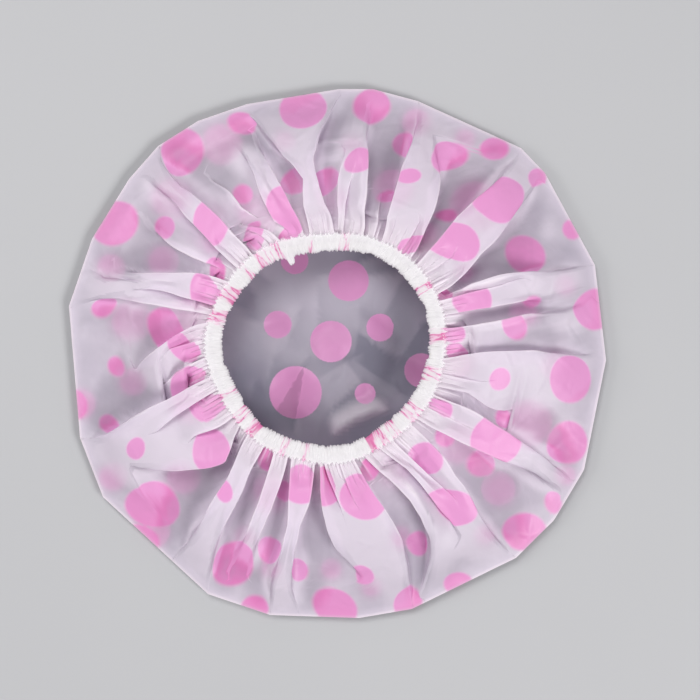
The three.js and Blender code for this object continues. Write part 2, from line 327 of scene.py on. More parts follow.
@dataclass
class FoldPlan:
    """Lines that the folds follow from the rim to the hem, with the small gathers between them.

    Attributes:
        folds: The large folds, in order round the cap.
        gather_pitch: Angle between gathers at the hem.
        gather_size: How plainly a gather shows, 1 for a large fold.
        gap: Least angle between lines.
        passes: How often the lines are evened out where no fold is known.
        steps: Number of shares at which the lines are kept.
        seed: Number that fixes the irregular gathers.
    """

    folds: Sequence[Fold]
    gather_pitch: float = 2.0
    gather_size: float = 0.2
    gap: float = 0.25
    passes: int = 600
    steps: int = 41
    seed: int = 11

    def __post_init__(self) -> None:
        """Runs every fold's line from rim to hem and fills the small gathers in."""
        shares = np.linspace(0.0, 1.0, self.steps)
        spans = np.array([fold.span() for fold in self.folds])
        lines = np.array([np.interp(shares, *np.array(fold.path).T) for fold in self.folds])
        known = (shares >= spans[:, :1]) & (shares <= spans[:, 1:])
        for _ in range(self.passes):
            before = np.concatenate([lines[-1:] - TURN, lines[:-1]])
            after = np.concatenate([lines[1:], lines[:1] + TURN])
            up = np.concatenate([lines[:, :1], lines[:, :-1]], 1)
            down = np.concatenate([lines[:, 1:], lines[:, -1:]], 1)
            even = 0.05 * (before + after) + 0.45 * (up + down)
            trail = np.clip(even, before + self.gap, after - self.gap)
            lines = np.where(known, lines, trail)
        chance = np.random.default_rng(self.seed)
        for turns, swing in ((1.7, 0.1), (3.9, 0.06), (7.3, 0.03)):
            lag = chance.uniform(0, 1, (len(lines), 1))
            lines = lines + swing * np.sin(2 * math.pi * (turns * shares + lag))
        rows, table = [], []
        for at, fold in enumerate(self.folds):
            beyond = lines[at + 1] if at + 1 < len(lines) else lines[0] + TURN
            rows.append(lines[at])
            table.append((*spans[at], float(fold.lean), fold.weight, 1.0))
            slant = abs(lines[at, -1] + beyond[-1] - lines[at, -7] - beyond[-7]) / 2
            room = (beyond[-1] - lines[at, -1]) * min(max(1.35 - slant / 6.0, 0.0), 1.0)
            small = max(1, round(room / self.gather_pitch)) - 1
            for number in range(small):
                share = (number + 1 + chance.uniform(-0.22, 0.22)) / (small + 1)
                rows.append(lines[at] * (1 - share) + beyond * share)
                table.append((chance.uniform(0.84, 0.93), 1.0, float(chance.choice([-1, 1])),
                              chance.uniform(0.5, 0.9), self.gather_size))
        self.lines = np.array(rows)
        self.start, self.end, self.lean, self.weight, self.size = np.array(table).T

    def at(self, share: float) -> Array:
        """Gives the angle of every line at a share of the skirt."""
        place = share * (self.steps - 1)
        low = min(int(place), self.steps - 2)
        return self.lines[:, low] * (low + 1 - place) + self.lines[:, low + 1] * (place - low)

    def closing(self, share: float, late: float) -> Array:
        """Gives how far every fold still holds at a share of the skirt, 1 for those that reach the hem."""
        return np.where(self.end < 1.0, ease((self.end + late - share) / 0.24), 1.0)

    def strength(self, share: float) -> Array:
        """Gives how far every fold has opened at a share of the skirt, 0 to 1."""
        opened = ease((share - self.start + 0.04) / np.minimum(0.26, 0.6 * (1.0 - self.start)))
        return opened * self.closing(share, 0.12)

    def pull(self, share: float) -> Array:
        """Gives the weight of every fold at a share of the skirt: it widens from its tip, like a dart."""
        run = np.clip(share - self.start + 0.05, 0.0, 0.7)
        return self.weight * run ** 2 / (run + 0.09) * self.closing(share, 0.12)

    def nearing(self, share: float) -> Array:
        """Gives how much room every fold is left by the others, from a little before it starts, 0 to 1."""
        return ease((share - self.start + 0.24) / 0.2) * self.closing(share, 0.24)

    def columns(self, count: int) -> Array:
        """Gives every line a column of the mesh of its own.

        Args:
            count: Columns round the cap.

        Returns:
            Rising column numbers.
        """
        number = np.round(self.lines.mean(1) / TURN * count)
        for at in range(1, len(number)):
            number[at] = max(number[at], number[at - 1] + 3)
        return number


@dataclass(frozen=True)
class MouthLine:
    """The uneven ring that the elastic draws the mouth to.

    Attributes:
        centre: Middle of the mouth.
        seam: Mean radius of the seam.
        outline: How far the ring lies outside its mean radius, at even steps round the mouth.
    """

    centre: tuple[float, float] = (-6.0, 3.0)
    seam: float = 58.4
    outline: tuple[float, ...] = (
        1.2, 2.7, 2.5, 1.6, -1.3, -2.5, -0.5, 0.1, 1.1, 2.0, -0.6, -0.7, -0.7, -1.2, -0.7, -1.9, -1.6, -0.1)

    def offset(self, degrees: Array) -> Array:
        """Gives how far the ring lies outside its mean radius.

        Args:
            degrees: Angles about the mouth.

        Returns:
            Distances in millimetres.
        """
        waves = np.fft.rfft(np.array(self.outline)) / len(self.outline)
        away = np.full(np.shape(degrees), waves[0].real)
        for number, wave in enumerate(waves[1:-1], 1):
            turn = np.radians(degrees) * number
            away = away + 2.0 * (wave.real * np.cos(turn) - wave.imag * np.sin(turn))
        return away

    def ring(self, degrees: Array, aside: object, share: float = 0.85) -> Array:
        """Gives points beside the seam.

        Args:
            degrees: Angles about the mouth.
            aside: Distance outside the seam.
            share: How much of the uneven outline the points follow.

        Returns:
            Positions in the plane.
        """
        reach = self.seam + aside + share * self.offset(degrees)
        return np.array(self.centre) + heading(degrees) * np.asarray(reach)[..., None]


@dataclass
class RimLine:
    """The folded rim: straight stretches between the corners that the film has taken.

    Attributes:
        radius: Mean radius of the rim.
        corners: Angle of each corner, and how far it lies outside the mean radius.
    """

    radius: float = 140.5
    corners: tuple[tuple[float, float], ...] = (
        (-1.5, -0.8), (18.9, 1.0), (41.0, 2.4), (48.2, 2.7), (72.4, -2.8), (82.4, -1.8), (89.8, -3.0),
        (110.1, -2.4), (121.1, 0.7), (131.0, 2.4), (140.2, 1.2), (155.1, 0.8), (170.1, 1.8), (198.2, 1.0),
        (211.5, 3.1), (241.7, 2.2), (255.5, 0.5), (274.5, -2.0), (286.1, -1.7), (311.0, 0.9), (322.3, 1.8),
        (334.6, 1.4))

    def __post_init__(self) -> None:
        """Places the corners in the plane."""
        angle, beyond = np.array(self.corners).T
        self.points = heading(angle) * (self.radius + beyond)[:, None]

    def seen_from(self, degrees: Array, origin: Array) -> Array:
        """Gives the points of the rim's outline that lie in given directions.

        Args:
            degrees: Directions, in degrees.
            origin: Point that the directions start from.

        Returns:
            One point in the plane for each direction.
        """
        ring = self.points - origin
        angles = np.degrees(np.unwrap(np.arctan2(ring[:, 1], ring[:, 0])))
        ring = np.concatenate([ring, ring[:1]])
        angles = np.concatenate([angles, [angles[0] + TURN]])
        turned = np.mod(degrees - angles[0], TURN) + angles[0]
        side = np.clip(np.searchsorted(angles, turned, side="right") - 1, 0, len(self.points) - 1)
        start, chord = ring[side], ring[side + 1] - ring[side]
        aim = heading(degrees)
        reach = ((start[..., 0] * chord[..., 1] - start[..., 1] * chord[..., 0])
                 / (aim[..., 0] * chord[..., 1] - aim[..., 1] * chord[..., 0]))
        return aim * reach[..., None] + origin


@dataclass(frozen=True)
class RowGround:
    """The plain ring that one row of the skirt follows, before it is folded.

    Attributes:
        angle: Fine angles round the cap.
        reach: Distance from the middle of the flat film at those angles.
        film: Length along the flat film up to those angles.
        ring: Length along the plain ring up to those angles.
    """

    angle: Array
    reach: Array
    film: Array
    ring: Array

    def along(self, angle: Array, run: Array) -> Array:
        """Gives the length along the film or the ring at an angle, over full turns too."""
        return np.interp(np.mod(angle, TURN), self.angle, run) + run[-1] * np.floor(angle / TURN)


@dataclass(frozen=True)
class RowFolds:
    """The open folds of one row of the skirt, in order round the cap.

    Attributes:
        line: Angle of each crest.
        lean: Side that each crest lies over.
        strength: How far each fold has opened, 0 to 1.
        size: How plainly each fold shows, 0 to 1.
        taken: Film that each fold takes up.
        side: How far each crest lies over its foot.
        root: Length along the ring at each foot.
        begin: Length along the flat film at which each fold begins.
        height: Height of each fold.
        top: Share of the taken film that lies on top.
        tuck: How far the hidden film of each fold hangs down.
    """

    line: Array
    lean: Array
    strength: Array
    size: Array
    taken: Array
    side: Array
    root: Array
    begin: Array
    height: Array
    top: Array
    tuck: Array


@dataclass(frozen=True)
class RowColumns:
    """Where the columns of the mesh lie among the folds of one row.

    Attributes:
        fold: Number of the fold that a column lies in or comes after.
        inside: Whether a column lies in that fold.
        part: Share of the way through the fold, or through the plain film after it.
        on_top: Whether a column lies before the crest, on the fold's upper ply.
        under: Share of the way through the hidden film of the fold.
        run: Length along the ring.
    """

    fold: Array
    inside: Array
    part: Array
    on_top: Array
    under: Array
    run: Array


@dataclass(frozen=True)
class SkirtRow:
    """One row of the skirt.

    Attributes:
        points: Positions.
        flat: Places on the flat film.
        plies: About 1 on the crest of a fold, where the film lies three deep, to -1 in the hollow beside it,
            where shade is painted.
    """

    points: Array
    flat: Array
    plies: Array


@dataclass
class GatheredSkirt:
    """The film from the rim up to the seam, drawn in and laid in folds.

    Attributes:
        rim: Outline of the rim.
        mouth_line: Ring that the skirt is drawn to.
        film_centre: Middle of the round film.
        seam_radius: Radius of the seam on the flat film.
        rim_height: Height of the rim over the table.
        hem_height: Height of the seam over the table.
        bulge: How far the skirt stands out of its slope halfway up.
        slope_power: Shape of the slope, 1 for a straight one.
        relief: Height of the largest folds.
        draw_angle: Angle over which a fold draws film in.
        fold_tilt: Tilt of a fold's plies at the rim, and what is added at the seam, in degrees.
        free_room: Room that a fold is given beside one that has not started.
        lap_limit: Largest share of its room, or of its film, that a fold may cover.
        top_share: Least and largest share of a fold's film that lies on top.
        edge_width: Softness of a crest's mark near the seam, and what is added near the rim.
        mark_reach: Reach of a crest's mark near the seam, what is added near the rim, and for each lap.
        mark_gain: How much more strongly the marks, with their painted light and shade, show near the rim.
        hidden_mark: Mark of the film that is hidden in a fold, near the seam.
        columns: Columns of the mesh round the cap.
        crowding: How far the columns crowd at the crests, 0 to 1.
        fine_steps: Number of points on the plain ring.
        plan: Lines of the folds.
    """

    rim: RimLine = field(default_factory=RimLine)
    mouth_line: MouthLine = MouthLine()
    film_centre: tuple[float, float] = (6.0, -3.0)
    seam_radius: float = 225.4
    rim_height: float = 5.0
    hem_height: float = 29.6
    bulge: float = 2.5
    slope_power: float = 0.92
    relief: float = 6.0
    draw_angle: float = 6.0
    fold_tilt: tuple[float, float] = (12.0, 50.0)
    free_room: float = 60.0
    lap_limit: float = 0.46
    top_share: tuple[float, float] = (0.08, 0.5)
    edge_width: tuple[float, float] = (0.3, 8.0)
    mark_reach: tuple[float, float, float] = (9.0, 5.0, 1.8)
    mark_gain: float = 1.8
    hidden_mark: float = -0.6
    columns: int = 1200
    crowding: float = 0.65
    fine_steps: int = 2881
    plan: FoldPlan = field(default_factory=lambda: FoldPlan(FOLDS))

    def __post_init__(self) -> None:
        """Gives every fold line its own column of the mesh."""
        self.centre = np.array(self.film_centre)
        self.knot_columns = self.plan.columns(self.columns)

    def plane_at(self, degrees: Array, share: float) -> Array:
        """Gives points of the plain ring at a share of the skirt, seen from above."""
        rim = self.rim.seen_from(degrees, self.centre)
        return rim * (1 - share) + self.mouth_line.ring(degrees, 0.0) * share

    def ground_of(self, share: float) -> RowGround:
        """Measures the plain ring of a row.

        Args:
            share: Share of the skirt.

        Returns:
            The ring, and the flat film that belongs to it.
        """
        angle = np.linspace(0.0, TURN, self.fine_steps)
        rim = self.rim.seen_from(angle, self.centre)
        reach = np.linalg.norm(rim - self.centre, axis=1) * (1 - share) + self.seam_radius * share
        film = running_length(heading(angle) * reach[:, None])
        return RowGround(angle, reach, film, running_length(self.plane_at(angle, share)))

    def fold_room(self, share: float, ground: RowGround, live: Array) -> Array:
        """Gives the room that each open fold has up to its nearest neighbour.

        Args:
            share: Share of the skirt.
            ground: Its plain ring.
            live: Numbers of the folds that are open.

        Returns:
            One length for each open fold.
        """
        crest = ground.along(self.plan.at(share), ground.ring)
        beyond = np.abs(wrapped(crest[live][:, None] - crest[None, :], ground.ring[-1]))
        waiting = self.free_room * (1.0 - self.plan.nearing(share))
        itself = 1e3 * (live[:, None] == np.arange(len(crest))[None, :])
        return (beyond + (waiting[None, :] + itself)).min(1)

    def film_taken(self, ground: RowGround, line: Array, weight: Array) -> Array:
        """Shares the spare film of a row out among its folds.

        Args:
            ground: Its plain ring.
            line: Angle of each crest.
            weight: Weight of each fold.

        Returns:
            Length of film that each fold takes up.
        """
        spot = ground.angle[::4]
        spare = np.diff((ground.film - ground.ring)[::4])
        apart = np.abs(wrapped(line[:, None] - (spot[:-1] + spot[1:])[None, :] / 2, TURN))
        draw = weight[:, None] * np.exp(-apart / self.draw_angle)
        taken = np.maximum(draw / draw.sum(0) @ spare, 0.0)
        return taken * ((ground.film[-1] - ground.ring[-1]) / max(float(taken.sum()), 1e-9))

    def folds_of(self, share: float, ground: RowGround) -> RowFolds:
        """Lays the open folds of a row out along its ring and along the flat film.

        Args:
            share: Share of the skirt.
            ground: Its plain ring.

        Returns:
            The folds.
        """
        plan, turn = self.plan, ground.ring[-1]
        live = np.flatnonzero(plan.strength(share) > 1e-3)
        line, lean, strength = plan.at(share)[live], plan.lean[live], plan.strength(share)[live]
        weight = plan.pull(share)[live]
        size = plan.size[live] * strength * np.minimum(plan.weight[live], 1.0)
        taken = self.film_taken(ground, line, weight)
        tilt = self.fold_tilt[0] + self.fold_tilt[1] * step((share - 0.7) / 0.25)
        lap = taken / 2 * math.cos(math.radians(tilt))
        side = np.minimum(lap, self.lap_limit * self.fold_room(share, ground, live))
        root = self.in_order(ground.along(line, ground.ring) - lean * side, weight, turn)
        begin = np.concatenate([[0.0], np.cumsum(taken + following(root, turn) - root)[:-1]])
        begin += np.average(ground.along(line, ground.film) - begin - taken / 2, weights=weight)
        swell = step(share / 0.3) * (1.0 - 0.75 * step((share - 0.75) / 0.25))
        height = np.minimum(self.relief * swell * size, self.lap_limit * taken)
        top = np.clip(side / np.maximum(taken, 1e-6), *self.top_share)
        tuck = np.sqrt(np.maximum(((taken - side) / 2) ** 2 - (side / 2) ** 2 - height ** 2, 0.0))
        tuck *= 1.0 - 0.4 * step((share - 0.88) / 0.12)
        return RowFolds(line, lean, strength, size, taken, side, root, begin, height, top, tuck)

    def places_of(self, share: float, ground: RowGround, folds: RowFolds) -> Array:
        """Spreads the columns of the mesh along the flat film, close together at the crests.

        Args:
            share: Share of the skirt.
            ground: Its plain ring.
            folds: Its folds.

        Returns:
            Length along the flat film at each column.
        """
        turn, line, columns = ground.film[-1], folds.line, self.knot_columns
        crest = folds.begin + folds.taken * np.where(folds.lean > 0, folds.top, 1.0 - folds.top)
        knots = np.interp(self.plan.at(share), np.concatenate([line[-1:] - TURN, line, line[:1] + TURN]),
                          np.concatenate([crest[-1:] - turn, crest, crest[:1] + turn]))
        number = np.arange(self.columns) + columns[0]
        knot = np.searchsorted(columns, number, side="right") - 1
        ahead = (number - columns[knot]) / (following(columns, self.columns) - columns)[knot]
        ahead -= self.crowding / (2 * math.pi) * np.sin(2 * math.pi * ahead)
        place = knots[knot] + (following(knots, turn) - knots)[knot] * ahead
        return np.mod(place - folds.begin[0], turn) + folds.begin[0]

    def columns_of(self, place: Array, ground: RowGround, folds: RowFolds) -> RowColumns:
        """Finds the fold and the place on the ring that belong to each column.

        Args:
            place: Length along the flat film at each column.
            ground: Its plain ring.
            folds: Its folds.

        Returns:
            The columns.
        """
        ends = np.column_stack([folds.begin, folds.begin + folds.taken]).ravel()
        marks = np.maximum.accumulate(np.append(ends, folds.begin[0] + ground.film[-1]))
        span = np.clip(np.searchsorted(marks, place, side="right") - 1, 0, len(ends) - 1)
        fold, inside = span // 2, span % 2 == 0
        part = np.clip((place - marks[span]) / np.maximum(marks[span + 1] - marks[span], 1e-9), 0.0, 1.0)
        lean, top = folds.lean[fold], folds.top[fold]
        along = np.where(lean > 0, part, 1.0 - part)
        under = np.clip((along - top) / (1.0 - top), 0.0, 1.0)
        over = np.where(along < top, along / top, 1.0 - under)
        width = (following(folds.root, ground.ring[-1]) - folds.root)[fold]
        run = folds.root[fold] + np.where(inside, lean * folds.side[fold] * over, width * part)
        return RowColumns(fold, inside, part, along < top, under, run)

    def levels_of(self, ground: RowGround, folds: RowFolds, columns: RowColumns) -> Array:
        """Gives how far each column lies over or under the plain ring.

        Args:
            ground: Its plain ring.
            folds: Its folds.
            columns: Its columns.

        Returns:
            Heights in millimetres.
        """
        fold, part, under = columns.fold, columns.part, columns.under
        swing = folds.lean * folds.height
        middle = self.fold_levels(swing, folds.strength, folds.root, ground.ring[-1])
        hang = folds.tuck[fold] * (1.0 - np.abs(2.0 * under - 1.0))
        tucked = folds.height[fold] * (1.0 - 2.0 * under) - hang
        low, high = middle - swing, np.roll(middle + swing, -1)
        return np.where(columns.inside, middle[fold] + tucked, low[fold] * (1 - part) + high[fold] * part)

    def plies_of(self, share: float, ground: RowGround, folds: RowFolds, columns: RowColumns) -> Array:
        """Marks the crests, where the film lies in plies, and the hollows beside them, where shade is
        painted.

        Args:
            share: Share of the skirt.
            ground: Its plain ring.
            folds: Its folds.
            columns: Its columns.

        Returns:
            About 1 on a crest to -1 in a hollow.
        """
        fold, side = columns.fold, folds.side
        beside = wrapped(columns.run[:, None] - folds.root[None, :], ground.ring[-1]) * folds.lean
        away = np.where(beside > 0, np.maximum(beside - side, 0.0), -beside)
        # Near the rim the mark falls off more softly and shows more strongly: painted light and shade across
        # each crest and its hollow.
        outer = 1.0 - step((share - 0.38) / 0.4)
        near, added, for_lap = self.mark_reach
        facing = np.clip((side - beside) / (self.edge_width[0] + self.edge_width[1] * outer), -1.0, 1.0)
        plies = folds.size * facing * np.clip(1.0 - away / (near + added * outer + for_lap * side), 0.0, 1.0)
        plies = np.clip((1.0 + self.mark_gain * outer) * plies.sum(1), -1.0, 1.0)
        own = np.where(columns.on_top, facing[np.arange(len(fold)), fold], self.hidden_mark * (1.0 - outer))
        return np.where(columns.inside & (folds.taken[fold] > 0.2), folds.size[fold] * own, plies)

    def row(self, share: float) -> SkirtRow:
        """Places one row of the skirt with its folds.

        Args:
            share: Share of the skirt.

        Returns:
            The row.
        """
        ground = self.ground_of(share)
        folds = self.folds_of(share, ground)
        place = self.places_of(share, ground, folds)
        columns = self.columns_of(place, ground, folds)
        angle = np.interp(np.mod(columns.run, ground.ring[-1]), ground.ring, ground.angle)
        slope = self.rim_height + (self.hem_height - self.rim_height) * share ** self.slope_power
        rise = slope + self.bulge * math.sin(math.pi * share) + self.levels_of(ground, folds, columns)
        turned = np.interp(np.mod(place, ground.film[-1]), ground.film, ground.angle)
        cut = heading(turned) * np.interp(turned, ground.angle, ground.reach)[:, None]
        points = np.column_stack([self.plane_at(angle, share), rise])
        flat = np.column_stack([cut, np.zeros(len(cut))])
        return SkirtRow(points, flat, self.plies_of(share, ground, folds, columns))

    @staticmethod
    def in_order(places: Array, weight: Array, turn: float) -> Array:
        """Keeps the feet of the folds in order round the row: a weak fold gives way to a strong one.

        Args:
            places: Length along the row at the foot of each fold.
            weight: Weight of each fold.
            turn: Length of the whole row.

        Returns:
            Rising places.
        """
        ordered, done = places.copy(), []
        for at in np.argsort(-weight):
            if done:
                after = bisect.bisect(done, at)
                low = ordered[done[after - 1]] - (turn if after == 0 else 0.0)
                high = ordered[done[after % len(done)]] + (turn if after == len(done) else 0.0)
                ordered[at] = min(max(ordered[at], low), high)
            bisect.insort(done, at)
        return ordered

    @staticmethod
    def fold_levels(swing: Array, strength: Array, root: Array, turn: float) -> Array:
        """Gives the middle level of each fold: 0 when it is open, on the film round it before it opens.

        Args:
            swing: Height of each fold, with the sign of its lean.
            strength: How far each fold has opened, 0 to 1.
            root: Length along the row at the foot of each fold.
            turn: Length of the whole row.

        Returns:
            One level for each fold.
        """
        before = np.concatenate([root[-1:] - turn, root[:-1]])
        part = (root - before) / np.maximum(following(root, turn) - before, 1e-6)
        level = np.zeros(len(swing))
        for _ in range(120):
            film = np.roll(level - swing, 1) * (1.0 - part) + np.roll(level + swing, -1) * part
            level = (1.0 - strength) * film
        return level


@dataclass(frozen=True)
class Ridge:
    """One soft wrinkle of the crown."""

    middle: tuple[float, float]
    turn: float
    length: float
    width: float
    peak: float
    bow: float


@dataclass(frozen=True)
class PaintedLightPatch:
    """One soft patch of the crown painted darker than the film round it, as shade, or with dark below 0
    painted paler, as light.
    """

    middle: tuple[float, float]
    size: float
    dark: float


@dataclass
class Crown:
    """The single film inside the mouth, which lies on the table."""

    mouth: tuple[float, float] = MouthLine().centre
    ridges: tuple[Ridge, ...] = (
        Ridge((-42.0, 20.0), 88.0, 20.0, 5.0, 1.6, 0.003), Ridge((3.0, -10.0), 92.0, 9.0, 3.0, 1.2, 0.0),
        Ridge((22.0, 7.0), 14.0, 14.0, 4.0, 1.4, 0.006), Ridge((26.0, 30.0), 106.0, 18.0, 5.0, 1.6, -0.004),
        Ridge((-18.0, -32.0), 130.0, 14.0, 5.0, 1.3, 0.008))
    # Painted shadow and light: patches with dark above 0 are shade where the hem shades the crown, and those
    # below 0 are paler, lit film.
    painted_light_patches: tuple[PaintedLightPatch, ...] = (
        PaintedLightPatch((-14.0, 26.0), 26.0, -0.2), PaintedLightPatch((-32.0, 4.0), 9.0, -0.08), PaintedLightPatch((40.0, -3.0), 17.0, 0.17),
        PaintedLightPatch((-50.0, -20.0), 15.0, 0.1), PaintedLightPatch((30.0, 36.0), 12.0, 0.05), PaintedLightPatch((6.0, 35.0), 20.0, -0.08),
        PaintedLightPatch((-31.0, 15.0), 11.0, -0.07))
    fold_middle: tuple[float, float] = (10.5, -33.5)
    fold_turn: float = 25.0
    fold_half: float = 19.0
    fold_bow: float = -0.009
    shadow_middle: tuple[float, float] = (16.0, -42.0)
    shadow_half: tuple[float, float] = (24.0, 7.5)

    @staticmethod
    def offsets(plane: Array, middle: Sequence[float], turn: float) -> tuple[Array, Array]:
        """Gives how far points lie along and beside a line in the plane.

        Args:
            plane: Positions in the plane.
            middle: Point on the line.
            turn: Direction of the line, in degrees.

        Returns:
            Distances along the line, and beside it on its left.
        """
        aim = heading(np.array(turn))
        offset = plane - np.array(middle)
        return offset @ aim, offset @ np.array([-aim[1], aim[0]])

    def height(self, plane: Array) -> Array:
        """Gives the soft wrinkles of the film.

        Args:
            plane: Positions in the plane.

        Returns:
            Heights in millimetres.
        """
        chance = np.random.default_rng(23)
        height = np.zeros(len(plane))
        ridges = list(self.ridges)
        for _ in range(10):
            middle = tuple(chance.uniform(-95, 95, 2))
            ranges = ((0, 180), (14, 30), (3.0, 5.0), (0.7, 1.4), (-0.01, 0.01))
            ridges.append(Ridge(middle, *(chance.uniform(low, high) for low, high in ranges)))
        for ridge in ridges:
            along, beside = self.offsets(plane, ridge.middle, ridge.turn)
            beside = beside - ridge.bow * along ** 2
            crest = np.exp(-(np.sqrt(beside ** 2 + 0.5) - 0.7) / ridge.width)
            height += ridge.peak * np.exp(-(along / ridge.length) ** 2) * crest
        inside = ease((70.0 - np.linalg.norm(plane - np.array(self.mouth), axis=1)) / 14.0)
        for _ in range(12):
            away = plane @ heading(np.array(chance.uniform(0, TURN))) - chance.uniform(-45, 45)
            height += chance.uniform(-0.14, 0.14) * (np.abs(away) - 12.0).clip(-12.0, 14.0) * inside
        return np.maximum(height, 0.0)

    def tone(self, plane: Array) -> Array:
        """Gives the painted shade and light of the crown's film: facets greyed on one side of a line, as if
        turned from the light, and soft patches of painted shadow and light.

        Args:
            plane: Positions in the plane.

        Returns:
            Values about 0, higher where more shade is painted.
        """
        chance = np.random.default_rng(31)
        tone = np.zeros(len(plane))
        # Painted shade of facets: each greys the film on one side of a line, as a facet turned from the
        # light would.
        for _ in range(26):
            turn = chance.uniform(0, TURN)
            along, beside = self.offsets(plane, np.array(self.mouth) + chance.uniform(-48, 48, 2), turn)
            facet = np.clip(beside / 0.9, -1.0, 1.0) * np.exp(-np.abs(beside) / chance.uniform(5.0, 16.0))
            facet = chance.uniform(0.04, 0.11) * facet
            tone += facet * ease((chance.uniform(12.0, 26.0) - np.abs(along)) / 9.0)
        for patch in self.painted_light_patches:
            tone += patch.dark * np.exp(-(((plane - np.array(patch.middle)) / patch.size) ** 2).sum(1))
        return 2.1 * tone - 0.07

    def fold(self, plane: Array) -> Array:
        """Gives the one large fold: gentle on the side to the light and steep beyond its crest.

        Args:
            plane: Positions in the plane.

        Returns:
            0 on flat film to 1 on the crest.
        """
        along, beside = self.offsets(plane, self.fold_middle, self.fold_turn)
        beside = beside - self.fold_bow * along ** 2
        slope = np.where(beside > 0, np.clip(1.0 - beside / 10.0, 0.0, 1.0), np.exp(beside / 1.6))
        return slope * ease((self.fold_half - np.abs(along)) / 9.0)

    def shadow(self, plane: Array) -> Array:
        """Gives the dark hollow between the large fold and the hem, from 0 to 1."""
        turned = (plane - np.array(self.shadow_middle)) @ np.array([[0.91, -0.42], [0.42, 0.91]])
        return ease((1.15 - np.linalg.norm(turned / np.array(self.shadow_half), axis=1)) / 0.6)


